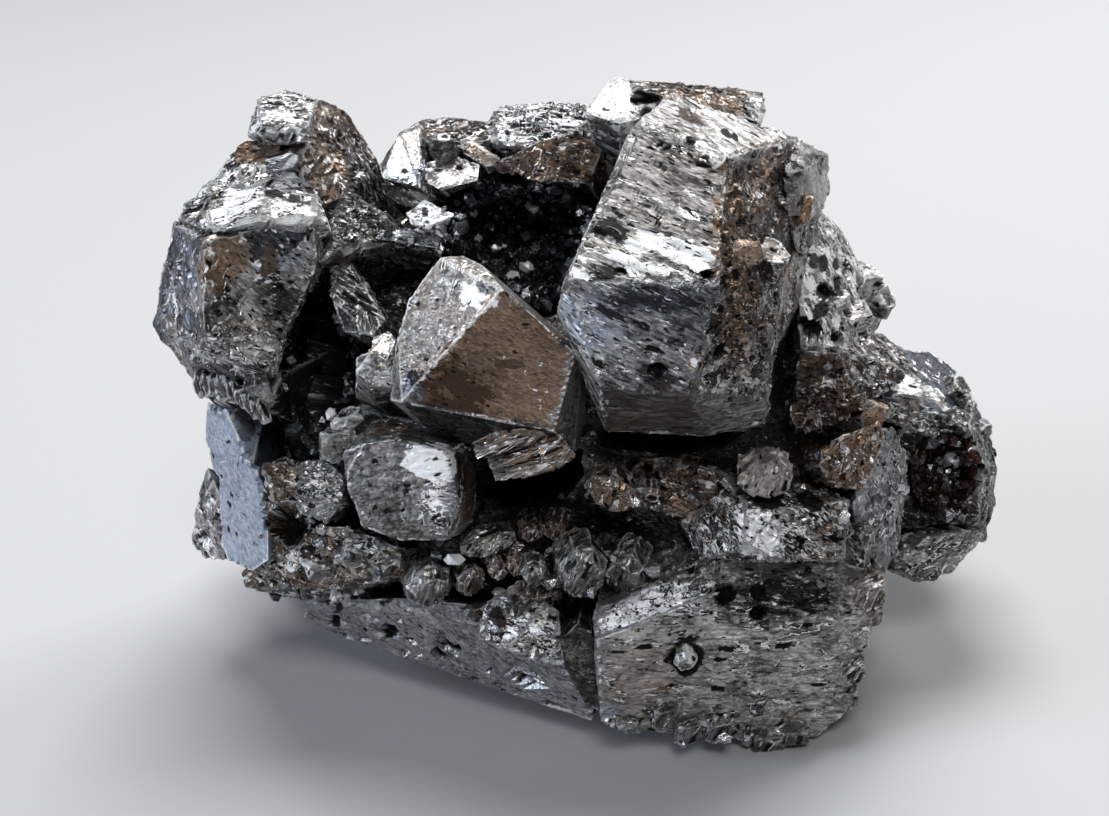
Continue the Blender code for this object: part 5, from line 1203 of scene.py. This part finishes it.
thin_plates = [
    ((-5.0, -15.0, 20.8), (1.5, 0.5, 0.26), -24), ((-4.1, -14.9, 20.2), (1.7, 0.6, 0.24), -20),
    ((-3.4, -14.9, 19.6), (1.5, 0.6, 0.28), -16), ((-2.3, -14.8, 20.5), (0.8, 0.6, 0.5), -22),
    ((-4.3, -14.6, 19.1), (1.2, 0.6, 0.22), -14),
]
for index, (spot, half, lean) in enumerate(thin_plates):
    central_crystals.append(crystal(
        habit(spot, half, (14, lean, 6), 0.87), seed=190 + index, size=44, stripes=(1, 0, 0.4), cut=False,
        brown=0.5 + 0.35 * (index % 2), polish=0.55, glow=0.15, lines=0.9, shade=0.3, mosaic=0.2, pits=0.03,
        stretch=6, steps=0.08, step_size=0.3, lumps=0.04))
grown("central_crystals", central_crystals)

# The lower left.
# A flat bluish face where the hematite broke clean, brown lumps and low crystals over it, and
# the smooth pitted underside, which bends back under the cluster.
clean_break = {"blue": 0.9, "polish": 0.35, "lines": 0.05, "facets": 0.1, "etch": 0.12, "rubble": 0.25,
               "shade": 0.04, "mosaic": 0.1, "pits": 0}
broken = {"mosaic": 0.5, "block_size": 0.9, "lumps": 0.1}
grown("lower_left", [
    # the clean broken face, in three parts
    crystal(
        [(-22.3, -4.7, 18.2), (-20.8, -6.4, 18.3), (-20.2, -7.3, 16.6), (-19.4, -8.5, 15.8),
         (-21.8, -5.9, 13.8), (-22.4, -5.2, 14.6), (-22.6, -4.7, 15.9), (-19, -3, 19.4),
         (-18, 2, 15), (-18, 3, 10)], 3,
        seed=87, size=48, cut=False, tone=0.6, **clean_break),
    crystal(
        [(-22.4, -4.5, 18.4), (-20.9, -6.2, 18.6), (-20.4, -7, 17.1), (-21.3, -6.4, 15),
         (-22.3, -5.2, 14.9), (-22.7, -4.5, 15.9), (-18, 3, 10)], 1,
        seed=70, size=36, middle=(-20.9, -4.8, 16.2), tone=0.62, **clean_break),
    crystal(
        [(-21.8, -5.7, 15), (-20.2, -7.5, 16.3), (-19.1, -8.8, 16.4), (-18.8, -9.5, 14.5),
         (-18.4, -10.1, 13.7), (-18.5, -10.4, 11.1), (-19.7, -9.2, 9.7), (-21.4, -7.3, 9.3),
         (-21.9, -6.6, 10), (-19, 3, 9), (-15, 3, 6)], 2,
        seed=71, size=60, middle=(-19.3, -6, 12.7), tone=0.62, **clean_break),
    # the lump at the far left, bright with painted highlights
    crystal(
        [(-23.2, -2.5, 13.2), (-23.8, -2, 10.9), (-24.5, -2, 8.5), (-24.7, -2, 7.6),
         (-24.1, -2.5, 6.9), (-22.2, -4.5, 7.7), (-22, -4.5, 11.9), (-18, 5, 6)], 1,
        seed=72, size=48, middle=(-22.6, -1.8, 9.5), tone=0.45, glow=0.35, shade=0.35, mosaic=0.5,
        pits=0.25, pit_size=1, blocks=0.2, lumps=0.2),
    # brown lumps over the round hole, and one bright with painted highlights
    crystal(
        [(-18.8, -8.5, 16.4), (-17.5, -8, 16.5), (-16.5, -8.8, 16.1), (-16.6, -10, 14.8),
         (-18, -10, 14.5), (-18.8, -9.3, 14.5), (-14, 1, 10)], 1,
        seed=73, size=42, middle=(-17.4, -8.2, 15.2), tone=0.3, brown=0.6, rubble=0.7, shade=0.4,
        blocks=0.15, **broken),
    crystal(
        [(-16.6, -8.5, 16.4), (-15.4, -8.5, 16.7), (-14.1, -9.5, 16.1), (-14.1, -11, 15),
         (-15, -11.3, 13.9), (-16.5, -11, 14.4), (-16.9, -10.3, 15.2), (-12, 1, 9)], 1,
        seed=74, size=48, middle=(-15.3, -9.2, 14.9), polish=0.5, glow=0.35, lines=0.8, rubble=0.6,
        shade=0.15, blocks=0.15, **broken),
    crystal(
        [(-18.8, -9.5, 14.5), (-16.5, -10.2, 14.9), (-15.8, -11.2, 14.1), (-16.2, -11.5, 12.7),
         (-18.6, -9.8, 10.8), (-14, 1, 7)], 1,
        seed=75, size=54, middle=(-16.6, -7.8, 11.6), tone=0.35, brown=0.5, rubble=0.7, shade=0.4,
        blocks=0.15, **broken),
    # the long brown crystal
    crystal(
        [(-18.6, -9.6, 11.7), (-16.5, -11.3, 13.6), (-13.9, -11.8, 14.1), (-10.8, -12, 12.8),
         (-10.8, -12.2, 11.4), (-12.7, -11.5, 10.2), (-14.4, -11.3, 10.2), (-16.8, -10.3, 9.3),
         (-19.2, -9, 8.5), (-20.4, -8, 7.9), (-20.6, -7.5, 8.7), (-17, 2, 4), (-8, 2, 4)], 2,
        seed=76, size=96, middle=(-14.8, -7.5, 10.6), stripes=(1, 0, -0.5), tone=0.36, brown=0.45,
        glow=0.05, lines=0.5, rubble=0.9, shade=0.3, mosaic=0.5, pits=0.12, steps=0.2, step_size=0.7,
        blocks=0.22, lumps=0.15,
        stains=[patch((-17.5, -10.6, 11.5), 1.1, brown=-0.4, glow=0.5),
                patch((-12.5, -11.9, 13.2), 1.2, brown=-0.3, glow=0.4)]),
    # dark rock under it
    crystal(
        [(-20.3, -7, 7.1), (-16.6, -8.2, 7.2), (-14.4, -9.3, 8.4), (-11.1, -10, 9.6),
         (-18, -7, 6.6), (-16, 3, 4), (-8, 2, 3)], 2,
        seed=77, size=48, middle=(-15.2, -5, 6.6), tone=0.2, rubble=0.7, shade=0.4, mosaic=0.5,
        pits=0.25, blocks=0.15, lumps=0.3),
    # the pitted underside
    crystal(
        [(-17.2, -6.5, 6), (-17.5, -5.8, 4.5), (-15.8, -6, 3.5), (-12.4, -7.5, 3.1),
         (-8.4, -9.5, 3.2), (-5.4, -11, 2.7), (-1.9, -12.5, 2.5), (0, -13.2, 2), (0.2, -13.8, 7.2),
         (-1.9, -13.8, 7.9), (-7.6, -10.8, 8.5), (-11.8, -9, 7.8), (-13, 4, 0), (4, 4, 0),
         (-14, 8, 0)], 3,
        seed=78, size=104, middle=(-6.5, -5, 4.6), blue=0.15, glow=0.02, lines=0.15, etch=0.4,
        rubble=0.1, shade=0.2, mosaic=0.15, pits=0.45, pit_size=1.1, pit_share=0.5, block_size=2,
        lumps=0.15),
    # a crystal at its right end, bright with painted highlights
    crystal(
        [(-6.5, -12, 8.9), (-5.3, -12.3, 10.1), (-2.7, -13.2, 10), (-1.9, -13.4, 9.5),
         (-1.8, -14.6, 7.2), (-4.1, -14.6, 7.1), (-5.2, -14.3, 7.6), (-6.5, -13.4, 7.7),
         (-4, 0, 4)], 1,
        seed=79, size=54, middle=(-4, -11.5, 8), glow=0.3, lines=0.7, rubble=0.5, shade=0.25, pits=0.1,
        **broken),
    # a smooth dark one beside it
    crystal(
        [(-1.9, -14, 8), (-0.9, -13.5, 8.9), (-0.1, -13.5, 8.2), (0.4, -14, 6.7), (0.5, -14, 3.2),
         (-0.5, -14, 3.7), (-1.8, -14.3, 6.6), (0, 0, 4)], 1,
        seed=80, size=48, middle=(-0.5, -11.8, 6.2), tone=0.2, polish=0.5, rubble=0.2, pits=0.05),
    # a dark floor in the round hole, near black with a little brown film, as its painted shade
    crystal(
        habit((-17.2, -8.5, 13.1), (1.2, 0.4, 1.15), (-5, 0, 8), 0.72),
        seed=185, size=36, cut=False, tone=0, brown=0.3, rims=0, shade=0.9, mosaic=0.4, pits=0.1,
        lumps=0.1),
    # small crystals on the long one
    crystal(habit((-15.7, -10.6, 11), (0.78, 0.8, 0.67), (35, -20, 10), 0.61), seed=81, size=24),
    crystal(habit((-13.7, -11.4, 12.2), (0.73, 0.8, 0.67), (15, 30, 25), 0.82), seed=82, size=24),
    crystal(habit((-11.9, -11.5, 11.4), (0.78, 0.69, 0.67), (20, -10, 40), 0.73), seed=83, size=24),
], sharp=28)

# The lower right block, the ledge on it and the rock behind the pit.
# A big dull crystal, granular and pitted, with fine level striations low on its front and an
# etched ledge on top, bright with painted highlights.
grown("lower_right", [
    # the block
    crystal(
        [(0.1, -15, 8.7), (-0.1, -13.8, 9.2), (1, -12.5, 9.5), (3.5, -11.8, 10), (5.5, -11, 11.6),
         (7.4, -11, 12.2), (14.1, -10, 10.9), (17, -8.7, 9.1), (16.7, -9.5, 7.1), (15.7, -11, 5.1),
         (14.8, -12, 1.9), (13.3, -12.3, 0.5), (10.9, -12.8, 0.3), (8.2, -13.4, 1.3),
         (3.2, -14.5, 2.1), (0.4, -15, 3.2), (4.2, -14.2, 8.8), (7, -13.6, 11), (14, -12.1, 8.2),
         (1, 5, 0), (13, 5, 0), (16, 3, 8), (2, 3, 8)], 4,
        seed=84, size=172, middle=(8, -8, 6.2), stripes=(1, 0.1, -0.15), tone=0.52, brown=0.08,
        glow=0.05, lines=0.45, etch=0.45, rubble=0.25, shade=0.08, mosaic=0.25, chips=0.3, pits=0.06,
        stretch=2.8, steps=0.11, step_size=0.5, block_size=1.2, lumps=0.15,
        # the face that looks up: lighter, with painted highlights
        looks=[face(-31, 66, 25, tone=0.45, polish=0.45, glow=0.3, etch=0.8, rubble=0.5, shade=0.2,
                    pits=0.15, stretch=1.2)],
        stains=[patch((4.9, -14.2, 4.9), (1.2, 1.2, 0.3), glow=0.2, lines=0.5),
                # lighter at the top left: painted highlight
                patch((3.2, -13.6, 9.6), (3, 1.8, 1.5), tone=0.15, glow=0.35, etch=0.4, rubble=0.3),
                patch((10.8, -12.6, 9.9), (3.6, 2, 1.4), tone=-0.15, etch=0.5, rubble=0.5, shade=0.5),
                patch((2.4, -14.4, 5.8), (1.8, 1.6, 2.4), brown=0.35),
                patch((1.2, -15, 3.8), 0.8, blue=0.6),
                patch((9.5, -13.2, 7.6), (4, 1.6, 0.7), glow=0.1, lines=0.6),
                # the socket's ring, painted black as the shade in it
                patch((5.3, -14.5, 6.9), (0.92, 1.2, 1.1), pit=2)]),
    # the ledge
    crystal(
        [(7.2, -9.5, 16.4), (8.3, -12, 15.7), (10.5, -12.3, 15.5), (14.5, -10, 14.8),
         (14.2, -11.5, 11.7), (10, -13.2, 12.7), (8.1, -13.4, 13.5), (6, -11.5, 11.7),
         (5, -9.5, 13.2), (5, 2, 10), (13, 2, 10), (13, 2, 5)], 3,
        seed=85, size=114, middle=(9.8, -8.5, 12.6), stripes=(0.8, 0, -0.5), tone=0.48, brown=0.15,
        polish=0.5, glow=0.28, lines=0.9, etch=0.8, rubble=0.6, shade=0.2, mosaic=0.5, chips=0.3,
        pits=0.15, stretch=2.5, steps=0.12, step_size=0.6, blocks=0.2, block_size=1, lumps=0.1,
        stains=[patch((9.1, -13, 14.2), (1.2, 1.2, 1.1), glow=0.9, shade=-0.4),
                # the grooved socket and the rust hole, painted black as their shade
                patch((9.4, -11.4, 17.1), (1.5, 1.5, 1.3), pit=1.5),
                patch((12.2, -11, 15.5), (0.7, 1, 0.65), pit=1.5)]),
    # the brown rock behind the pit
    crystal(
        [(2.6, -9, 16.9), (6, -9, 17.1), (7.2, -9.5, 16.4), (7.9, -10.5, 15), (5.5, -10, 13.4),
         (2.7, -9.5, 14.2), (1.8, -9.3, 15.7), (1, 3, 12), (7, 3, 12), (6, 3, 5)], 3,
        seed=86, size=66, middle=(4.6, -7, 14.6), tone=0.25, brown=0.5, rubble=0.9, shade=0.35,
        mosaic=0.6, pits=0.1, blocks=0.2, block_size=0.9, lumps=0.15),
])

# The small blocky crystals in the pit, on the rim and in sockets.
# Loose-looking cubes that are half grown into octahedra, and short eight-sided prisms, each
# grown on its own in a gap of the larger ones.
# Centre, half sizes, turn, how far the corners are cut off (0 for a prism), tone and brown
blocky = [
    ((-6, -10.6, 12.5), (1.75, 0.8, 0.7), (10, -14, 10), 0, 0.55, 0),
    ((-3.6, -9.9, 13.1), (0.8, 0.9, 0.7), (15, 0, 10), 0, 0.4, 0.8),
    ((-2.1, -9.9, 13.2), (0.75, 0.9, 0.65), (15, 10, -10), 0, 0.4, 0.8),
    ((-0.8, -11.6, 11.5), (1.6, 1.3, 2), (18, 0, 12), 0, 0.4, 0.1),
    ((2, -10.9, 11.1), (1.35, 1.3, 1.6), (15, 0, -22), 0, 0.35, 0.2),
    ((-3.3, -11.6, 11.2), (0.9, 0.8, 0.75), (15, 25, 10), 0, 0.5, 0),
    ((-5.5, -11.1, 11.1), (0.6, 0.7, 0.75), (15, -25, 10), 0, 0.35, 0.8),
    ((-4.4, -11.1, 11.4), (0.55, 0.7, 0.8), (15, -15, -10), 0, 0.4, 0.7),
    ((-7.2, -10.5, 10.1), (0.95, 0.9, 1.1), (15, 0, 30), 0, 0.3, 0.4),
    ((-3.6, -12.3, 9.6), (1.15, 0.8, 0.9), (15, 10, 30), 0.45, 0.4, 0.4),
    ((-9.6, -11, 10.3), (1.5, 1.3, 1.6), (18, -12, 22), 0, 0.4, 0.1),
    ((-14.6, -9.8, 8.4), (0.5, 0.5, 0.55), (15, 0, 30), 0.45, 0.8, 0),
    ((1, -11, 16.1), (1.7, 1, 1.15), (20, 32, 5), 0, 0.45, 0.9),
    ((5.3, -14, 2.2), (0.75, 0.7, 0.75), (15, 0, 20), 0.45, 0.35, 0),
    ((7.1, -13.8, 2.2), (0.85, 0.7, 0.7), (15, 0, 20), 0.45, 0.4, 0),
    ((4, -14.3, 3.4), (0.8, 0.6, 0.7), (15, 0, 20), 0.45, 0.35, 0),
    ((1.5, -14.8, 3.2), (1.15, 0.45, 0.45), (15, 8, 0), 0, 0.5, 0.3),
    ((11.3, -13, 1.1), (1.25, 0.5, 0.55), (15, 0, 0), 0.45, 0.4, 0),
    ((10.2, -12.9, 0.7), (1, 0.6, 0.7), (15, 0, 10), 0.45, 0.35, 0),
    ((15.5, -9.8, 8.8), (1.25, 0.9, 0.95), (15, 0, 10), 0.45, 0.35, 0.3),
    ((16, -9.5, 7.1), (0.8, 0.6, 0.7), (15, 0, 10), 0.45, 0.35, 0.3),
    ((14.9, -11.2, 4.4), (0.8, 0.7, 0.8), (15, 0, 10), 0.45, 0.35, 0),
    ((14.6, -11.4, 2.7), (0.8, 0.7, 0.8), (15, 0, 10), 0.45, 0.35, 0),
]
small_crystals = []
for index, (spot, half, turn, cut, tone, brown) in enumerate(blocky):
    small_crystals.append(crystal(
        habit(spot, half, turn, cut) if cut else barrel(spot, half, turn), seed=90 + index,
        size=int(20 + 11 * max(half)), stripes=(0.3, 0, 1), cut=False, tone=tone, brown=brown, polish=0.55,
        glow=0.08, lines=0.5 + 0.4 * (brown > 0.7), rims=0.5, facets=0.1, etch=0.4, rubble=0, shade=0.3,
        mosaic=0.1, pits=0.02, stretch=4, steps=0.1, step_size=0.35, lumps=0.04))
small_crystals += [
    crystal(barrel((9.4, -11.6, 17.3), (1.6, 1, 1.35), (22, 0, 5)), seed=120, size=64, stripes=(0.2, 0, 1),
            cut=False, tone=0.7, brown=0.35, lines=0.1, rims=0.3, shade=0.15, mosaic=0.1, pits=0, stretch=4,
            steps=0.3, step_size=0.7, lumps=0.04),
    crystal(barrel((5.15, -14, 6.9), (0.72, 0.6, 0.8), (15, 10, 5)), seed=121, size=40, cut=False, tone=0.6,
            glow=0.35, lines=0.1, pits=0, lumps=0.03),
    crystal(barrel((3.25, -10.1, 15.4), (0.6, 0.6, 0.55), (18, 20, 5)), seed=122, size=36, cut=False,
            tone=0.4, brown=0.6, lines=0.1, pits=0, lumps=0.03),
]
grown("small_crystals", small_crystals)

# The crystals at the back.
# Blocky hematite crystals grown over each other. They are guessed, large and plain, in the
# habit of the front.
# Centre, half sizes and turn
behind = [
    ((-13.5, 7.5, 10), (6, 5, 5.6), (10, 20, 30)),
    ((11.5, 8, 9.5), (6.2, 5, 6), (-15, 10, -25)),
    ((-1, 8.6, 12.5), (6.2, 5.8, 6.6), (20, -15, 10)),
    ((7, 7, 21.5), (5.4, 4.4, 4.6), (0, 25, 40)),
    ((-10.5, 6.5, 20.5), (4.4, 4.2, 4.4), (30, 0, 20)),
    ((3, 9, 4.5), (9, 5.4, 4), (0, 0, 15)),
    ((-11.5, 6, 4), (5.2, 5.2, 3.8), (0, 0, 35)),
    ((20, 5.5, 9.5), (3.4, 3.8, 4.4), (20, 30, 0)),
    ((-17.5, 6, 23.5), (2.7, 2.5, 2.8), (20, 10, 30)),
    ((-3.5, 9.2, 23), (3.3, 2.9, 3.1), (-10, 25, 0)),
    ((14.3, 8, 17.5), (3, 2.8, 3.1), (15, -20, 40)),
    ((-8, 12, 17), (2.7, 2.4, 2.6), (30, 15, -10)),
    ((5.3, 12.6, 14.5), (2.7, 2.6, 2.7), (10, 35, 20)),
    ((-18.6, 8.4, 15.5), (2.3, 2.3, 2.5), (-20, 10, 15)),
    ((17.2, 9.8, 12), (2.3, 2.2, 2.4), (25, 5, -20)),
    ((-16, 11.5, 5), (2.5, 2.4, 2.6), (0, 20, 25)),
    ((10, 13, 6), (2.6, 2.3, 2.3), (15, -10, 30)),
    ((1.5, 9.2, 28), (2.3, 2.1, 2.2), (20, 30, 10)),
    ((-4, 13.96, 7.5), (2.4, 2.2, 2.6), (-15, 20, 40)),
    ((21.6, 8.3, 13.2), (1.9, 1.8, 1.9), (10, 30, 20)),
]
grown("back_crystals", [
    crystal(habit(spot, half, turn, 0.45), seed=130 + index, size=int(18 + 5 * max(half)), away=(0, 1, 0.3),
            tone=0.45 + 0.02 * (index % 7), brown=0.15 * (index % 3), pits=0.18, steps=0.12, lumps=0.3)
    for index, (spot, half, turn) in enumerate(behind)
])


# The crusts of small crystals in the three hollows.
# Black crystals, well formed and mirror-like, that grew close together over a thin crust on
# the hollow's wall. The ones in the right cup are deep red where they are thin.
def faces_of(points):
    """The triangles of the smallest convex body round the points, one fan per flat face."""
    triangles = []
    for normal, height in zip(*flat_faces(points)):
        ring = np.flatnonzero(points @ normal > height - 0.05)
        spokes = points[ring] - points[ring].mean(0)
        first = spokes[0]
        angle = np.arctan2(spokes @ np.cross(normal, first) / np.linalg.norm(first),
                           spokes @ first / np.linalg.norm(first))
        ring = ring[np.argsort(angle)]
        triangles += [(ring[0], ring[k], ring[k + 1]) for k in range(1, len(ring) - 1)]
    return np.array(triangles)


def coated(place, triangles, grain, **look):
    """A surface with its looks: what isn't named is 0 all over."""
    level = np.ones(len(place))
    painted = {key: look.get(key, 0.0) * level for key in (*PAINTED, "rim", "pit")}
    return {"place": place, "triangles": triangles, "grain": grain, **painted}


def set_crystals(places, sizes, chance, tone, brown):
    """One small octahedron at each place, of that size, stretched and turned at random. Some
    are lighter or browner than others, and a few carry painted white highlights all over."""
    count = len(places)
    shape = np.unique(np.round(habit((0, 0, 0), (1, 1, 1), (0, 0, 0), 1.0), 6), axis=0)
    turns = np.linalg.qr(chance.normal(size=(count, 3, 3)))[0]
    turns[np.linalg.det(turns) < 0] *= -1
    half = sizes[:, None] * chance.uniform(0.6, 1.25, (count, 3))
    points = np.einsum("nij,nvj->nvi", turns, shape[None] * half[:, None]) + places[:, None]
    triangles = faces_of(shape)[None] + len(shape) * np.arange(count)[:, None, None]
    grain = shape[None] * half[:, None] + chance.uniform(0, 50, (count, 1, 3))
    own = np.repeat(chance.uniform(-0.35, 0.35, count), len(shape))
    film = np.repeat(np.where(chance.random(count) < 0.35, 1.0, 0.15), len(shape)) * brown
    # a few crystals painted all over with white highlights
    bright = np.repeat(chance.random(count) < 0.03, len(shape))
    return coated(points.reshape(-1, 3), triangles.reshape(-1, 3), grain.reshape(-1, 3), tone=tone + own,
                  brown=film, blue=0.2, polish=0.7, glow=bright, lines=0.2, facets=0.1, etch=0.25)


rock = frame["nodes"]["hematite_cluster"]
rock_tree = BVHTree.FromPolygons([v.co / MM for v in rock.data.vertices],
                                 [p.vertices for p in rock.data.polygons])
CRUST_AROUND, CRUST_DEEP = 90, 64    # points around the bowl, and from its inner bottom to its outer one
RIM_ANGLE = 86                       # degrees from the bowl's bottom to its rim


def crust(name, hollow, count, size, finish, number, tone, brown):
    """The bowl runs over the hollow's wall from the back to a ragged rim and returns behind it:
    direction (u, v), radius by noise. The small crystals sit wherever the hollow has a wall."""
    spot, radii, turn = HOLLOWS[hollow]
    spot, radii, out = np.array(spot), np.array(radii), turn_matrix((*turn, 0))
    chance = np.random.default_rng(number)
    u, v = np.meshgrid(np.arange(CRUST_AROUND) / CRUST_AROUND, np.arange(CRUST_DEEP) / (CRUST_DEEP - 1),
                       indexing="ij")
    u, v = u.ravel(), v.ravel()
    inner = v < 0.5
    angle = np.where(inner, v, 1 - v) * 2 * math.radians(RIM_ANGLE)
    around = 2 * math.pi * u
    ball = np.stack([np.sin(angle) * np.cos(around), np.cos(angle), np.sin(angle) * np.sin(around)], 1)
    bumps = rough_noise(ball * radii.mean() * 1.1 + number, 4, number)
    reach = np.where(inner, 0.93 - 0.12 * bumps, 0.985)
    place = (ball * (radii - 0.3) * reach[:, None]) @ out.T + spot
    a = np.arange(CRUST_AROUND * CRUST_DEEP).reshape(CRUST_AROUND, CRUST_DEEP)
    a[:, 0] = 0
    a[:, -1] = CRUST_DEEP - 1
    b = np.roll(a, -1, axis=0)
    triangles = np.stack([a[:, :-1], a[:, 1:], b[:, 1:], a[:, :-1], b[:, 1:], b[:, :-1]], -1).reshape(-1, 3)
    # the bowl is painted dark, partly as the shade inside the hollow
    bowl = coated(place, whole(triangles), place, tone=0.1, brown=brown, polish=0.5, lines=0.3, facets=1,
                  etch=0.5, rubble=0.5, shade=0.1, pit=0.4)
    rays = chance.normal(size=(count, 3))
    rays /= np.linalg.norm(rays, axis=1)[:, None]
    reach = 1 / np.linalg.norm(rays @ out / radii, axis=1)
    places = []
    for ray, far in zip(rays, reach):
        hit, _, _, distance = rock_tree.ray_cast(Vector(spot), Vector(ray), float(far) * 1.3)
        if hit is not None:
            places.append(spot + ray * min(distance, float(far)) * chance.uniform(0.86, 0.97))
    places = np.array(places)
    sizes = size * raised(chance.uniform(0.35, 1.0, len(places)), 1.5)
    joined(name, [bowl, set_crystals(places, sizes, chance, tone, brown)], finish, hollow + "_druse")


dark_druse = metal_finish("dark_druse", (0.015, 0.015, 0.016), (0.36, 0.36, 0.37), (0.16, 0.07, 0.04))
red_druse = metal_finish("red_druse", (0.013, 0.011, 0.011), (0.34, 0.31, 0.30), (0.055, 0.022, 0.016))
crust("left_crust", "left_hollow", 560, 0.34, dark_druse, 21, tone=0.2, brown=0.25)
crust("pocket_crust", "upper_pocket", 900, 0.38, dark_druse, 22, tone=0.15, brown=0.3)
crust("cup_crust", "right_cup", 240, 0.42, red_druse, 23, tone=0.5, brown=0.8)

# The grit: the smallest crystals.
# They grew last, in the clefts between the large crystals and on their broken ledges, and are
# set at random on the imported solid's surface there.
corner_a, corner_b, corner_c = [
    np.array([rock.data.vertices[p.vertices[k]].co for p in rock.data.polygons]) / MM for k in range(3)]
area = np.linalg.norm(np.cross(corner_b - corner_a, corner_c - corner_a), axis=1) / 2
chance = np.random.default_rng(31)


def grit(spot, radius, count, size, tone, brown=0.0):
    """Small crystals on the solid's triangles within a radius of a spot, evenly by area."""
    middle = (corner_a + corner_b + corner_c) / 3
    near = np.linalg.norm((middle - np.array(spot)) / np.array(radius), axis=1) < 1
    weight = area * near
    picks = chance.choice(len(area), count, p=weight / weight.sum())
    s, t = chance.random((2, count))
    flip = s + t > 1
    s, t = np.where(flip, 1 - s, s), np.where(flip, 1 - t, t)
    a, b, c = corner_a[picks], corner_b[picks], corner_c[picks]
    places = a + (b - a) * s[:, None] + (c - a) * t[:, None]
    places = places[np.linalg.norm((places - np.array(spot)) / np.array(radius), axis=1) < 1]
    sizes = size * raised(chance.uniform(0.3, 1.0, len(places)), 1.6)
    return set_crystals(places, sizes, chance, tone, brown)


grown("grit", [
    grit((-4, -11, 10.5), (6, 3.5, 3.5), 50, 0.42, 0.3, 0.4),
    grit((3.5, -10, 13.5), (5, 3, 3), 50, 0.42, 0.3, 0.3),
    grit((-6, -6, 28), (6, 4, 3), 60, 0.32, 0.4, 0.2),
    grit((13, -9, 15.5), (4, 3, 3), 50, 0.32, 0.4, 0.8),
    grit((-15, -10, 12.5), (5.5, 3, 3.5), 60, 0.32, 0.4, 0.4),
    grit((6, -14, 1.8), (6, 2, 1.5), 30, 0.40, 0.45),
    grit((-15, -8, 8), (6, 2.5, 1.8), 60, 0.36, 0.3),
    grit((17, -7, 11), (2.5, 3, 5), 30, 0.35, 0.45, 0.2),
])
